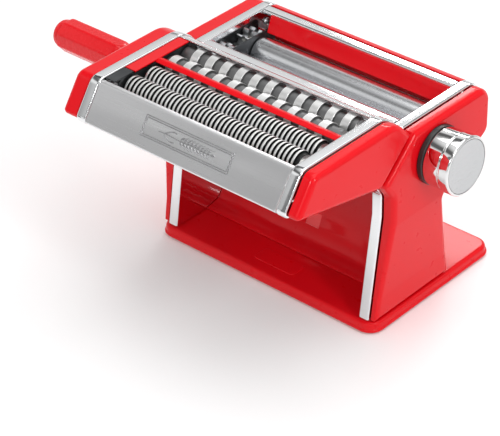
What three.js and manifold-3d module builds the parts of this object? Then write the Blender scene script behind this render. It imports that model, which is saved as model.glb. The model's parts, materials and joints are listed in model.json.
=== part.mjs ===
// Manual pasta roller machine: a two-roller sheeter on a base, with a two-pair cutter unit
// hung on its front, a thickness dial on the right and a crank plugged in on the left.
// Millimetres, +X towards the dial, +Y towards the back, +Z up, origin under the base's centre.
import * as THREE from 'three';
import { mergeVertices } from 'three/addons/utils/BufferGeometryUtils.js';
import Module from 'manifold-3d';

const wasm = await Module();
wasm.setup();

// ---------------------------------------------------------------- clearances
const seatGap = 0.3;        // between pieces that are fastened face to face
const runGap = 0.3;         // radial gap of a turning journal in its bore
const coverGroove = 1.0;    // dark groove between a frame's rim and its cover
const unitGap = 0.6;        // between the main unit's shoulder and the cutter unit

// ---------------------------------------------------------------- widths along X
const rollerLength = 150;
const gearBay = 9;          // left of the rollers, where the gears run
const rightBay = 7;         // right of the rollers
const gearWidth = 5;
const guardThickness = 1;
const webThickness = 1.6;
const rimDepth = 8;
const rimThickness = 1.8;
const coverDepth = 9;
const leftCoverDepth = 13.4; // the left covers stand out further, over the crank's sockets
const coverWall = 2;
const coverRounding = 4;

const frameInner = (gearBay + rollerLength + rightBay) / 2;
const webOuter = frameInner + webThickness;
const frameOuter = frameInner + rimDepth;
const coverInner = frameOuter + coverGroove;
const coverOuter = coverInner + coverDepth;
const leftCoverOuter = coverInner + leftCoverDepth;
const coverCeiling = coverOuter - coverWall;
const panelHalf = frameInner - seatGap;
const rollerStart = -frameInner + gearBay;
const rollerEnd = rollerStart + rollerLength;
const guardOuter = rollerStart - 0.6;
const guardInner = guardOuter - guardThickness;
const gearEnd = guardInner - 0.8;
const gearStart = gearEnd - gearWidth;

// ---------------------------------------------------------------- base
const baseWidth = 2 * (frameOuter + 7);
const baseDepth = 131;
const baseCorner = 11;
const baseLift = 0.8;       // the rim stays this far above the table, on the pad
const baseTop = 8.2;
const baseWall = 2.2;
const baseEdge = 1.6;
const padWidth = 150;
const padDepth = 90;
const clampSeat = { width: 36, depth: 14, y: -47, height: 0.5 };

// ---------------------------------------------------------------- side profile, [y, z, radius]
const headTop = 141.6;
const creaseHeight = headTop - 61.6;
const footInset = 4.5;      // how far the cover's foot leans in below the crease
const frontFootY = -62;
const rearFootY = 18;
const junctionY = -26.3;
const footZ = baseTop + seatGap;
const junctionZ = headTop - 0.4;
const cutterTop = junctionZ + 16.1;
const cutterLowFront = [-142.5, junctionZ - 10.7, 4];
const cutterLowRear = [-58.5, junctionZ - 27.7, 3];
const cutterOutline = [
  cutterLowFront,
  cutterLowRear,
  [junctionY - 1, junctionZ, 0.8],
  [-41.6, cutterTop, 22],
  [-123.2, cutterTop, 9],
];
const shoulderRun = [junctionY - 1 - cutterLowRear[0], junctionZ - cutterLowRear[1]];
const shoulderLength = Math.hypot(...shoulderRun);
const shoulderAlong = shoulderRun.map((part) => part / shoulderLength);
const shoulderAt = (along) => [
  cutterLowRear[0] + shoulderAlong[0] * along + shoulderAlong[1] * unitGap,
  cutterLowRear[1] + shoulderAlong[1] * along - shoulderAlong[0] * unitGap,
];
const shoulderTop = shoulderAt((headTop - shoulderAt(0)[1]) / shoulderAlong[1]);
const shoulderFoot = shoulderAt(1.5);
const mainOutline = [
  [frontFootY, footZ, 1],
  [rearFootY, footZ, 1],
  [6.3, creaseHeight - 2.2, 5],
  [53.8, headTop - 35.4, 10],
  [54.6, headTop, 12],
  [...shoulderTop, 1],
  [...shoulderFoot, 4],
  [-48, headTop - 40.6, 7],
  [-48.3, creaseHeight + 4, 0],
];

// ---------------------------------------------------------------- rollers and their drive
const smoothRadius = 12.5;
const smoothJournal = 5;
const smoothZ = headTop - 25.9;
const closestGap = 0.4;     // thinnest sheet
const gapTravel = 2;        // how far the dial opens the front roller
const rearRollerY = 21.8;
const closestCentres = 2 * smoothRadius + closestGap;
const widestCentres = closestCentres + gapTravel;
const frontRollerY = rearRollerY - widestCentres;
const dialY = frontRollerY + gapTravel / 2;

const cutterRadius = 9;
const cutterJournal = 3.5;
const discOverlap = 1.2;    // how far one roller's discs reach between the other's
const cutterCentres = 2 * cutterRadius - discOverlap;
const cutterZ = junctionZ + 4.3;
const narrowFrontY = -104;
const wideFrontY = -68;
const narrowPitch = 3.6;
const widePitch = 13;
const grooveClearance = 0.4;
const discClearance = 0.2;
const cutterCore = cutterCentres - cutterRadius - grooveClearance;
const cutterCentreY = {
  narrow_front: narrowFrontY,
  narrow_rear: narrowFrontY + cutterCentres,
  wide_front: wideFrontY,
  wide_rear: wideFrontY + cutterCentres,
};

const socketRadius = 6.5;
const crankRod = 4;
const socketBore = crankRod + 0.4;
const socketDepth = 12;
const socketEnd = -(coverInner + 4);
const journalEnd = frameOuter - 1.5;

const gearTeeth = 12;
const toothPressure = THREE.MathUtils.degToRad(20);
const toothThinning = 0.45;
const rollerGearReach = 2;
const cutterGearReach = 1.1;

// ---------------------------------------------------------------- dial
const dialCollarRadius = 20.6;
const dialCollarEnd = coverOuter + 4.2;
const dialFaceX = coverOuter + 25;
const dialRearRadius = 20.2;
const dialRadius = 20.9;
const spindleRadius = 4;
const camThrow = gapTravel / 2;
const camRadius = 4;
const blockHalf = 9;
const blockInnerEnd = journalEnd + 0.5;
const camStart = blockInnerEnd + 0.3;
const camEnd = camStart + 2.6;
const grooveRadius = 14;
const indexPinRadius = 1.25;

// ---------------------------------------------------------------- crank
const crankThrow = 75;
const crankAngle = THREE.MathUtils.degToRad(-28.4);
const armX = -(leftCoverOuter + 8);
const crankBend = 10;
const gripStart = armX - 13.6;
const gripLength = 80;
const gripRadius = 12.4;
const gripNeck = 7.5;
const gripEnd = gripStart - gripLength;
const capLength = 7;

// ---------------------------------------------------------------- materials
const paint = new THREE.MeshStandardMaterial({ color: 0xc8050c, roughness: 0.22, metalness: 0.1 });
const chrome = new THREE.MeshStandardMaterial({ color: 0xd9dadc, roughness: 0.08, metalness: 1 });
const steel = new THREE.MeshStandardMaterial({ color: 0xb9babc, roughness: 0.32, metalness: 1 });
const darkSteel = new THREE.MeshStandardMaterial({ color: 0x4a4c4f, roughness: 0.45, metalness: 0.8 });
const redPlastic = new THREE.MeshStandardMaterial({ color: 0xd4121a, roughness: 0.3, metalness: 0 });
const blackPlastic = new THREE.MeshStandardMaterial({ color: 0x121214, roughness: 0.4, metalness: 0 });
const whitePlastic = new THREE.MeshStandardMaterial({ color: 0xe9e6de, roughness: 0.5, metalness: 0 });
const rubber = new THREE.MeshStandardMaterial({ color: 0x1b1b1c, roughness: 0.9, metalness: 0 });

// ---------------------------------------------------------------- geometry helpers
// Welds a geometry's shared points, drops slivers and turns its faces outwards.
function weld(geometry) {
  const bare = geometry.clone();
  bare.deleteAttribute('normal');
  bare.deleteAttribute('uv');
  const merged = mergeVertices(bare, 1e-3);
  const point = merged.attributes.position;
  const kept = [];
  const [a, b, c] = [new THREE.Vector3(), new THREE.Vector3(), new THREE.Vector3()];
  let volume = 0;
  for (let i = 0; i < merged.index.count; i += 3) {
    const corner = [0, 1, 2].map((k) => merged.index.getX(i + k));
    if (new Set(corner).size === 3) {
      a.fromBufferAttribute(point, corner[0]);
      b.fromBufferAttribute(point, corner[1]);
      c.fromBufferAttribute(point, corner[2]);
      volume += a.dot(b.cross(c));
      kept.push(...corner);
    }
  }
  if (volume < 0) {
    for (let i = 0; i < kept.length; i += 3) [kept[i], kept[i + 1]] = [kept[i + 1], kept[i]];
  }
  merged.setIndex(kept);
  return merged;
}

function toSolid(geometry) {
  const welded = weld(geometry);
  return new wasm.Manifold(new wasm.Mesh({
    numProp: 3,
    vertProperties: new Float32Array(welded.attributes.position.array),
    triVerts: new Uint32Array(welded.index.array),
  }));
}

function toGeometry(solid) {
  const mesh = solid.getMesh();
  const geometry = new THREE.BufferGeometry();
  geometry.setAttribute('position', new THREE.BufferAttribute(new Float32Array(mesh.vertProperties), 3));
  geometry.setIndex([...mesh.triVerts]);
  return geometry;
}

function cut(body, ...tools) {
  return toGeometry(tools.reduce((left, tool) => left.subtract(toSolid(tool)), toSolid(body)));
}

function join(...bodies) {
  return toGeometry(bodies.slice(1).reduce((sum, body) => sum.add(toSolid(body)), toSolid(bodies[0])));
}

// The points of a closed outline whose corners [u, v, radius] are rounded by arcs.
function roundedPoints(corners, arcSteps = 4) {
  return corners.flatMap(([u, v, radius = 0], i) => {
    if (radius === 0) return [new THREE.Vector2(u, v)];
    const before = corners.at(i - 1);
    const after = corners[(i + 1) % corners.length];
    const back = new THREE.Vector2(before[0] - u, before[1] - v).normalize();
    const ahead = new THREE.Vector2(after[0] - u, after[1] - v).normalize();
    const half = Math.acos(back.dot(ahead)) / 2;
    const middle = back.clone().add(ahead).normalize().multiplyScalar(radius / Math.sin(half));
    const sweep = Math.PI - 2 * half;
    const turn = back.cross(ahead) > 0 ? -1 : 1;
    const spoke = Math.atan2(-middle.y, -middle.x);
    return Array.from({ length: arcSteps + 1 }, (_, k) => {
      const angle = spoke + turn * sweep * (k / arcSteps - 0.5);
      const spin = new THREE.Vector2(radius * Math.cos(angle), radius * Math.sin(angle));
      return new THREE.Vector2(u + middle.x, v + middle.y).add(spin);
    });
  });
}

function roundedShape(corners) {
  return new THREE.Shape(roundedPoints(corners));
}

// Moves every side of an anticlockwise outline inwards by a distance.
function inset(corners, distance) {
  return corners.map(([u, v, radius = 0], i) => {
    const before = corners.at(i - 1);
    const after = corners[(i + 1) % corners.length];
    const arriving = new THREE.Vector2(u - before[0], v - before[1]).normalize();
    const leaving = new THREE.Vector2(after[0] - u, after[1] - v).normalize();
    const turn = arriving.cross(leaving);
    const bisector = new THREE.Vector2(-arriving.y - leaving.y, arriving.x + leaving.x).normalize();
    const reach = distance / Math.max(0.3, bisector.dot(new THREE.Vector2(-arriving.y, arriving.x)));
    const rounding = turn > 0 ? Math.max(0.3, radius - distance) : radius + distance;
    return [u + bisector.x * reach, v + bisector.y * reach, radius > 0 ? rounding : 0];
  });
}

// A strip of sheet metal in side view: a centre line [u, v] given a thickness.
function stripShape(line, thickness) {
  const side = (sign) => line.map(([u, v], i) => {
    const before = line[Math.max(0, i - 1)];
    const after = line[Math.min(line.length - 1, i + 1)];
    const arriving = new THREE.Vector2(u - before[0], v - before[1]).normalize();
    const leaving = new THREE.Vector2(after[0] - u, after[1] - v).normalize();
    const first = i === 0 ? leaving : arriving;
    const normal = new THREE.Vector2(-first.y - leaving.y, first.x + leaving.x);
    if (i === line.length - 1) normal.set(-arriving.y, arriving.x);
    normal.normalize();
    const reach = sign * thickness / 2 / Math.max(0.5, normal.dot(new THREE.Vector2(-first.y, first.x)));
    return new THREE.Vector2(u + normal.x * reach, v + normal.y * reach);
  });
  return new THREE.Shape([...side(-1), ...side(1).reverse()]);
}

const sideViewAxes = new THREE.Matrix4().set(0, 0, 1, 0, 1, 0, 0, 0, 0, 1, 0, 0, 0, 0, 0, 1);

// Extrudes a side view (y, z) along X between two places.
function prismX(shape, from, to, curveSegments = 3) {
  const [low, high] = [Math.min(from, to), Math.max(from, to)];
  const options = { depth: high - low, bevelEnabled: false, curveSegments };
  const geometry = new THREE.ExtrudeGeometry(shape, options);
  geometry.applyMatrix4(sideViewAxes);
  geometry.translate(low, 0, 0);
  return geometry;
}

// Joins matching side-view outlines, each given as { x, points }, into one closed body.
function loftX(levels) {
  const position = levels.flatMap(({ x, points }) => points.flatMap((p) => [x, p.x, p.y]));
  const count = levels[0].points.length;
  const index = [];
  for (let level = 0; level < levels.length - 1; level += 1) {
    for (let i = 0; i < count; i += 1) {
      const [a, b] = [level * count + i, level * count + (i + 1) % count];
      index.push(a, b, b + count, a, b + count, a + count);
    }
  }
  const last = (levels.length - 1) * count;
  for (const [a, b, c] of THREE.ShapeUtils.triangulateShape(levels[0].points, [])) index.push(a, c, b);
  for (const [a, b, c] of THREE.ShapeUtils.triangulateShape(levels.at(-1).points, [])) {
    index.push(last + a, last + b, last + c);
  }
  const geometry = new THREE.BufferGeometry();
  geometry.setAttribute('position', new THREE.Float32BufferAttribute(position, 3));
  geometry.setIndex(index);
  return geometry;
}

// Turns a profile of [x, radius] points about the X axis.
function latheX(profile, segments) {
  const points = profile.map(([x, radius]) => new THREE.Vector2(radius, x));
  const geometry = new THREE.LatheGeometry(points, segments);
  geometry.rotateZ(-Math.PI / 2);
  return weld(geometry);
}

function rodX(from, to, radius, y = 0, z = 0, segments = 16) {
  return latheX([[from, 0], [from, radius], [to, radius], [to, 0]], segments).translate(0, y, z);
}

// A tool for a round hole: its flats, not its corners, lie at the hole's radius.
function drillX(from, to, radius, y, z, segments = 12) {
  return rodX(from, to, radius / Math.cos(Math.PI / segments), y, z, segments);
}

function boxBetween(low, high) {
  const size = high.map((value, i) => value - low[i]);
  const middle = high.map((value, i) => (value + low[i]) / 2);
  return new THREE.BoxGeometry(...size).translate(...middle);
}

function roundedRectangle(width, depth, radius) {
  const [u, v] = [width / 2, depth / 2];
  return roundedShape([[-u, -v, radius], [u, -v, radius], [u, v, radius], [-u, v, radius]]);
}

const model = new THREE.Group();

function add(parent, name, geometry, material, y = 0, z = 0) {
  const mesh = new THREE.Mesh(weld(geometry), material);
  mesh.name = name;
  mesh.position.set(0, y, z);
  parent.add(mesh);
  return mesh;
}

const sides = [['left', -1], ['right', 1]];

// ---------------------------------------------------------------- base
const frameScrewY = -20;
const frameScrewX = (frameInner + frameOuter) / 2;

function basePlate() {
  const slab = new THREE.ExtrudeGeometry(roundedRectangle(baseWidth, baseDepth, baseCorner), {
    depth: baseTop - baseLift - 2 * baseEdge,
    bevelThickness: baseEdge,
    bevelSize: baseEdge,
    bevelOffset: -baseEdge,
    bevelSegments: 2,
  }).translate(0, 0, baseLift + baseEdge);
  const hollow = new THREE.ExtrudeGeometry(
    roundedRectangle(baseWidth - 2 * baseWall, baseDepth - 2 * baseWall, baseCorner - baseWall),
    { depth: baseTop - baseWall, bevelEnabled: false, curveSegments: 4 },
  );
  const screwHoles = sides.map(([, side]) => new THREE.CylinderGeometry(2.3, 2.3, 20, 12)
    .rotateX(Math.PI / 2).translate(side * frameScrewX, frameScrewY, baseTop));
  const seat = new THREE.ExtrudeGeometry(roundedRectangle(clampSeat.width, clampSeat.depth, 3), {
    depth: baseWall / 2 + clampSeat.height,
    bevelEnabled: false,
    curveSegments: 4,
  }).translate(0, clampSeat.y, baseTop - baseWall / 2);
  return join(cut(slab, hollow, ...screwHoles), seat);
}

function antiSlipPad() {
  return new THREE.ExtrudeGeometry(roundedRectangle(padWidth, padDepth, baseCorner), {
    depth: baseTop - baseWall - seatGap,
    bevelEnabled: false,
    curveSegments: 3,
  });
}

// The panel that the rolled sheet slides down, from under the rollers to the base's front.
function doughSlide() {
  const curve = new THREE.QuadraticBezierCurve(
    new THREE.Vector2(-19, baseTop + 3.4),
    new THREE.Vector2(-6, 22),
    new THREE.Vector2(5, creaseHeight - 4),
  );
  const line = [[-31, baseTop + 0.9], ...curve.getPoints(6).map((p) => [p.x, p.y]), [45, headTop - 42.1]];
  const sheet = prismX(stripShape(line, 1.2), -panelHalf, panelHalf);
  const clampHole = boxBetween([-6, -14, 20], [6, 0, 29]);
  return cut(sheet, clampHole);
}

// ---------------------------------------------------------------- side frames and covers
const hookRod = { y: -41, z: headTop - 23.1, radius: 3.5 };
const rearRod = { y: 46, z: headTop - 20.6, radius: 3 };
const coverBosses = {
  main: [[38, headTop - 10.6], [-25, creaseHeight - 35]],
  cutter: [[-125, cutterZ - 5.5], [-79, cutterZ - 18.5]],
};
const bossRadius = 3.5;

// A pressed steel tray: a web with holes, and a rim that shows as a bright band round it.
function sideFrame(side, outline, holes) {
  const plate = prismX(roundedShape(outline), side * frameInner, side * frameOuter);
  const pocket = prismX(roundedShape(inset(outline, rimThickness)), side * webOuter, side * (frameOuter + 1));
  const [drillFrom, drillTo] = side > 0 ? [frameInner - 1, webOuter + 1] : [-webOuter - 1, -frameInner + 1];
  const drills = holes.map(([y, z, radius]) => drillX(drillFrom, drillTo, radius, y, z));
  return [plate, pocket, ...drills];
}

// What is cut off outside x so that a cover leans in towards its foot, from the crease down.
function leanWedge(x) {
  const depth = 300;
  const drop = creaseHeight + 20;
  const outline = new THREE.Shape([
    new THREE.Vector2(x, creaseHeight),
    new THREE.Vector2(x - footInset * drop / (creaseHeight - footZ), creaseHeight - drop),
    new THREE.Vector2(x + 20, creaseHeight - drop),
    new THREE.Vector2(x + 20, creaseHeight),
  ]);
  const wedge = new THREE.ExtrudeGeometry(outline, { depth, bevelEnabled: false });
  wedge.rotateX(Math.PI / 2);
  wedge.translate(0, depth / 2, 0);
  return wedge;
}

// A red shell with a rounded outer edge; its bosses stand on the frame's web.
function sideCover(side, outline, bosses, holes, leansIn) {
  const outer = side < 0 ? leftCoverOuter : coverOuter;
  const ceiling = outer - coverWall;
  const rim = inset(outline, 1.2);
  const levels = [{ x: coverInner, points: roundedPoints(rim) }];
  for (const angle of [0, Math.PI / 4, Math.PI / 2]) {
    levels.push({
      x: outer - coverRounding * (1 - Math.sin(angle)),
      points: roundedPoints(inset(rim, coverRounding * (1 - Math.cos(angle)))),
    });
  }
  const body = loftX(levels);
  const hollow = prismX(roundedShape(inset(rim, coverRounding - 0.8)), coverInner - 1, ceiling);
  const shell = leansIn
    ? cut(body, cut(hollow, leanWedge(ceiling)), leanWedge(outer))
    : cut(body, hollow);
  const posts = bosses.map(([y, z]) => rodX(webOuter + seatGap, ceiling + 0.5, bossRadius, y, z, 8));
  const drills = holes.map(([y, z, radius]) => drillX(coverInner, outer + 1, radius, y, z, 14));
  let cover = join(shell, ...posts);
  const pilots = bosses.map(([y, z]) => drillX(webOuter - 1, coverCeiling - 5, 1.6, y, z, 6));
  cover = cut(cover, ...pilots, ...drills);
  if (side < 0) cover.scale(-1, 1, 1);
  return cover;
}

const cutterRollers = Object.entries(cutterCentreY);
const isDriven = (name) => name === 'narrow_front' || name === 'wide_front';

const screwHoles = (bosses) => bosses.map(([y, z]) => [y, z, 1.9]);
const journalRadius = (name, side) => (isDriven(name) && side < 0 ? socketRadius : cutterJournal);

function mainFrame(side) {
  const rearHole = side < 0 ? socketRadius : smoothJournal;
  const holes = [
    [rearRollerY, smoothZ, rearHole + runGap + 2.3],
    [hookRod.y, hookRod.z, hookRod.radius + runGap],
    [rearRod.y, rearRod.z, rearRod.radius + runGap],
    ...screwHoles(coverBosses.main),
  ];
  const [plate, ...tools] = sideFrame(side, mainOutline, holes);
  const slotRadius = smoothJournal + 0.6;
  const [slotFrom, slotTo] = side > 0 ? [frameInner - 1, webOuter + 1] : [-webOuter - 1, -frameInner + 1];
  const slot = boxBetween(
    [slotFrom, frontRollerY - slotRadius, smoothZ - slotRadius],
    [slotTo, frontRollerY + gapTravel + slotRadius, smoothZ + slotRadius],
  );
  const footHole = new THREE.CylinderGeometry(2.3, 2.3, 8, 12).rotateX(Math.PI / 2)
    .translate(side * frameScrewX, frameScrewY, footZ);
  return cut(plate, ...tools, slot, footHole);
}

function cutterFrame(side) {
  const holes = cutterRollers.map(([name, y]) => [y, cutterZ, journalRadius(name, side) + 2 * runGap]);
  const [plate, ...tools] = sideFrame(side, cutterOutline, [...holes, ...screwHoles(coverBosses.cutter)]);
  return cut(plate, ...tools);
}

function coverScrew(side) {
  const head = frameInner - seatGap;
  const tip = coverCeiling - 6;
  const screw = latheX([[head - 2, 0], [head - 2, 2.4], [head, 3], [head, 1.3], [tip, 1.3], [tip, 0]], 10);
  if (side < 0) screw.scale(-1, 1, 1);
  return screw;
}

// ---------------------------------------------------------------- rollers
// A turned shaft along X: a body of given profile between a left and a right journal.
function shaftProfile(bodyProfile, journal, hasSocket, leftEnd, rightEnd) {
  const left = hasSocket
    ? [[socketEnd + socketDepth, 0], [socketEnd + socketDepth, socketBore], [socketEnd, socketBore],
      [socketEnd, socketRadius], [gearStart - 0.5, socketRadius], [gearStart - 0.5, journal]]
    : [[leftEnd, 0], [leftEnd, journal]];
  const right = [[rollerEnd, journal], [rightEnd, journal], [rightEnd, 0]];
  return [...left, [rollerStart, journal], ...bodyProfile, ...right];
}

function smoothRoller(hasSocket) {
  const chamfer = 0.8;
  const body = [
    [rollerStart, smoothRadius - chamfer], [rollerStart + chamfer, smoothRadius],
    [rollerEnd - chamfer, smoothRadius], [rollerEnd, smoothRadius - chamfer],
  ];
  return latheX(shaftProfile(body, smoothJournal, hasSocket, -journalEnd, journalEnd), 18);
}

// Where a cutter's discs start, and how wide they are, for a given pitch.
function discLayout(pitch, isSecond) {
  const width = pitch / 2 - discClearance;
  const count = Math.floor(rollerLength / pitch - 0.5);
  const margin = (rollerLength - (count - 0.5) * pitch - width) / 2;
  const first = rollerStart + margin + (isSecond ? pitch / 2 : 0);
  return { width, starts: Array.from({ length: count }, (_, i) => first + i * pitch) };
}

// Discs that run between the other roller's discs, on a core that clears them. Wide discs have
// square shoulders; narrow ones are cut as a V thread is, one ridge to a disc.
function cutterRoller(pitch, isSecond, hasSocket, isNarrow, segments) {
  const { width, starts } = discLayout(pitch, isSecond);
  const body = [[rollerStart, cutterCore]];
  for (const start of starts) {
    const end = start + width;
    const middle = start + width / 2;
    if (isNarrow) body.push([middle - pitch / 2, cutterCore], [middle, cutterRadius]);
    else body.push([start, cutterCore], [start, cutterRadius], [end, cutterRadius], [end, cutterCore]);
  }
  if (isNarrow) body.push([starts.at(-1) + width / 2 + pitch / 2, cutterCore]);
  body.push([rollerEnd, cutterCore]);
  return latheX(shaftProfile(body, cutterJournal, hasSocket, -journalEnd, journalEnd), segments);
}

// A spur gear with long involute teeth; its first tooth points at an angle in the y-z plane.
function spurGear(centres, reach, bore, firstTooth) {
  const pitchRadius = centres / 2;
  const tipRadius = pitchRadius + reach;
  const rootRadius = centres - tipRadius - 0.35;
  const baseRadius = pitchRadius * Math.cos(toothPressure);
  const involute = (radius) => {
    const turn = Math.acos(Math.min(1, baseRadius / radius));
    return Math.tan(turn) - turn;
  };
  const halfAtPitch = Math.PI / (2 * gearTeeth) - toothThinning / (2 * pitchRadius);
  const halfAngle = (radius) => halfAtPitch + involute(pitchRadius) - involute(Math.max(radius, baseRadius));
  const radii = [rootRadius, pitchRadius, tipRadius];
  const points = [];
  for (let tooth = 0; tooth < gearTeeth; tooth += 1) {
    const middle = firstTooth + tooth * 2 * Math.PI / gearTeeth;
    const place = (radius, angle) => points.push(new THREE.Vector2(
      radius * Math.cos(middle + angle), radius * Math.sin(middle + angle)));
    radii.forEach((radius) => place(radius, -halfAngle(radius)));
    [...radii].reverse().forEach((radius) => place(radius, halfAngle(radius)));
  }
  const shape = new THREE.Shape(points);
  const hole = new THREE.Path();
  hole.absarc(0, 0, bore, 0, 2 * Math.PI, true);
  shape.holes.push(hole);
  return prismX(shape, gearStart, gearEnd, 5);
}

const halfTooth = Math.PI / gearTeeth;

// ---------------------------------------------------------------- assembly: main unit
const mainUnit = new THREE.Group();
model.add(mainUnit);

add(mainUnit, 'base_plate', basePlate(), paint);
add(mainUnit, 'anti_slip_pad', antiSlipPad(), rubber);
add(mainUnit, 'dough_slide', doughSlide(), paint);

for (const [label, side] of sides) {
  const holes = side > 0
    ? [[dialY, smoothZ, spindleRadius + 1]]
    : [[rearRollerY, smoothZ, socketRadius + 1.5]];
  add(mainUnit, `side_frame_${label}`, mainFrame(side), chrome);
  add(mainUnit, `side_cover_${label}`, sideCover(side, mainOutline, coverBosses.main, holes, true), paint);
  const [screwY, screwZ] = coverBosses.main[0];
  add(mainUnit, `cover_screw_${label}`, coverScrew(side), steel, screwY, screwZ);

  const bore = (side < 0 ? socketRadius : smoothJournal) + runGap;
  const bush = latheX([
    [panelHalf - 1.2, bore], [panelHalf - 1.2, bore + 2], [webOuter + seatGap, bore + 2],
    [webOuter + seatGap, bore + 4.5], [webOuter + 2.3, bore + 4.5], [webOuter + 2.3, bore],
    [panelHalf - 1.2, bore],
  ], 14);
  if (side < 0) bush.scale(-1, 1, 1);
  add(mainUnit, `roller_bush_${label}`, bush, whitePlastic, rearRollerY, smoothZ);
}

// A strip of sheet that runs from one side frame to the other.
const acrossX = (line, thickness, from = -panelHalf) => prismX(stripShape(line, thickness), from, panelHalf);

const rearBarFront = 35;
const rearBarRear = 41.8;
const frontBarFront = junctionY - 3.4;
const frontBarRear = junctionY + 6.6;
const barZ = headTop - 0.6;
add(mainUnit, 'rear_bar', acrossX([
  [rearBarFront, barZ - 2.6], [rearBarFront, barZ], [rearBarRear, barZ], [rearBarRear, barZ - 2.6],
], 1.2), chrome);
// The front bar's rear flange leans down towards the front roller and guides the sheet in.
add(mainUnit, 'front_bar', acrossX([
  [frontBarFront, barZ - 2.6], [frontBarFront, barZ], [frontBarRear, barZ],
  [frontBarRear + 3.6, smoothZ + smoothRadius + 4.8],
], 1.2), chrome);
add(mainUnit, 'hopper_rear', acrossX([
  [rearBarFront - 1.4, headTop - 1.2], [rearBarFront - 6.1, smoothZ + smoothRadius + 0.6],
], 1.2, rollerStart), paint);
add(mainUnit, 'rear_panel', acrossX([
  [44, headTop - 1.2], [49.6, headTop - 2.6], [52.3, headTop - 8.6],
  [52.2, headTop - 29.6], [49.8, headTop - 35],
], 1.2), paint);

const tieRod = ({ radius }) => rodX(-journalEnd, journalEnd, radius, 0, 0, 12);
add(mainUnit, 'hook_rod', tieRod(hookRod), steel, hookRod.y, hookRod.z);
add(mainUnit, 'rear_tie_rod', tieRod(rearRod), steel, rearRod.y, rearRod.z);

const rollerGearTip = closestCentres / 2 + rollerGearReach;

function mainGuard() {
  const guardTop = smoothZ + rollerGearTip + 0.4;
  const outline = [
    [frontRollerY - rollerGearTip - 1, smoothZ - 12, 3], [rearRollerY + rollerGearTip + 1, smoothZ - 12, 3],
    [rearRollerY + rollerGearTip + 1, guardTop, 3], [frontRollerY - rollerGearTip - 1, guardTop, 3],
  ];
  const slotRadius = smoothJournal + 0.8;
  const slot = boxBetween(
    [guardInner - 1, frontRollerY - slotRadius, smoothZ - slotRadius],
    [guardOuter + 1, frontRollerY + gapTravel + slotRadius, smoothZ + slotRadius],
  );
  return cut(
    prismX(roundedShape(outline), guardInner, guardOuter),
    slot,
    drillX(guardInner - 1, guardOuter + 1, slotRadius, rearRollerY, smoothZ),
  );
}
add(mainUnit, 'roller_gear_guard', mainGuard(), darkSteel);

const scraperLine = (centre, away) => [
  [centre + away * 15, smoothZ - 19],
  [centre + away * 0.48 * smoothRadius, smoothZ - 1.072 * smoothRadius],
];
add(mainUnit, 'scraper_front', acrossX(scraperLine(frontRollerY, -1), 0.9, rollerStart + 0.5), steel);
add(mainUnit, 'scraper_rear', acrossX(scraperLine(rearRollerY, 1), 0.9, rollerStart + 0.5), steel);

add(mainUnit, 'smooth_roller_rear', smoothRoller(true), chrome, rearRollerY, smoothZ);
const rollerGear = (firstTooth) => spurGear(
  closestCentres, rollerGearReach, smoothJournal + seatGap, firstTooth);
add(mainUnit, 'roller_gear_rear', rollerGear(Math.PI), steel, rearRollerY, smoothZ);

// The front roller runs in two blocks that slide in the frames as the dial turns its cam.
const gapCarriage = new THREE.Group();
gapCarriage.position.set(0, frontRollerY, smoothZ);
mainUnit.add(gapCarriage);
add(gapCarriage, 'smooth_roller_front', smoothRoller(false), chrome);
add(gapCarriage, 'roller_gear_front', rollerGear(halfTooth), steel);

function slideBlock(side) {
  const start = webOuter + seatGap;
  const end = side > 0 ? camEnd : blockInnerEnd;
  const block = boxBetween([start, -blockHalf, -blockHalf], [end, blockHalf, blockHalf]);
  const bore = drillX(start - 1, blockInnerEnd, smoothJournal + runGap, 0, 0, 14);
  const camSlot = boxBetween(
    [blockInnerEnd - 0.5, -camRadius - 0.45, -camRadius - camThrow - 0.5],
    [camEnd + 1, camRadius + 0.45, camRadius + camThrow + 0.5],
  );
  const shaped = side > 0 ? cut(block, bore, camSlot) : cut(block, bore);
  if (side < 0) shaped.scale(-1, 1, 1);
  return shaped;
}
for (const [label, side] of sides) add(gapCarriage, `slide_block_${label}`, slideBlock(side), whitePlastic);

// ---------------------------------------------------------------- assembly: thickness dial
const dial = new THREE.Group();
dial.position.set(0, dialY, smoothZ);
mainUnit.add(dial);

function dialCollar() {
  return latheX([
    [coverOuter + seatGap, spindleRadius + 1], [coverOuter + seatGap, dialCollarRadius],
    [dialCollarEnd - 1, dialCollarRadius], [dialCollarEnd, dialCollarRadius - 1],
    [dialCollarEnd, grooveRadius + 1.7], [dialCollarEnd - 2.4, grooveRadius + 1.7],
    [dialCollarEnd - 2.4, grooveRadius - 1.7], [dialCollarEnd, grooveRadius - 1.7],
    [dialCollarEnd, spindleRadius + 1], [coverOuter + seatGap, spindleRadius + 1],
  ], 24);
}
add(dial, 'dial_collar', dialCollar(), blackPlastic);

const springSeat = dialFaceX - 13.6;
const spindleEnd = dialFaceX - 6.4;
const screwSeat = spindleEnd + seatGap;

function dialSpindle() {
  const cam = rodX(camStart, camEnd + 0.6, camRadius, -camThrow, 0, 16);
  const shaft = latheX([
    [camEnd + 0.4, 0], [camEnd + 0.4, 7.5], [camEnd + 2.4, 7.5], [camEnd + 2.4, spindleRadius],
    [spindleEnd, spindleRadius], [spindleEnd, 1.9], [spindleEnd - 9, 1.9], [spindleEnd - 9, 0],
  ], 16);
  return join(cam, shaft);
}
add(dial, 'dial_spindle', dialSpindle(), steel);

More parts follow.
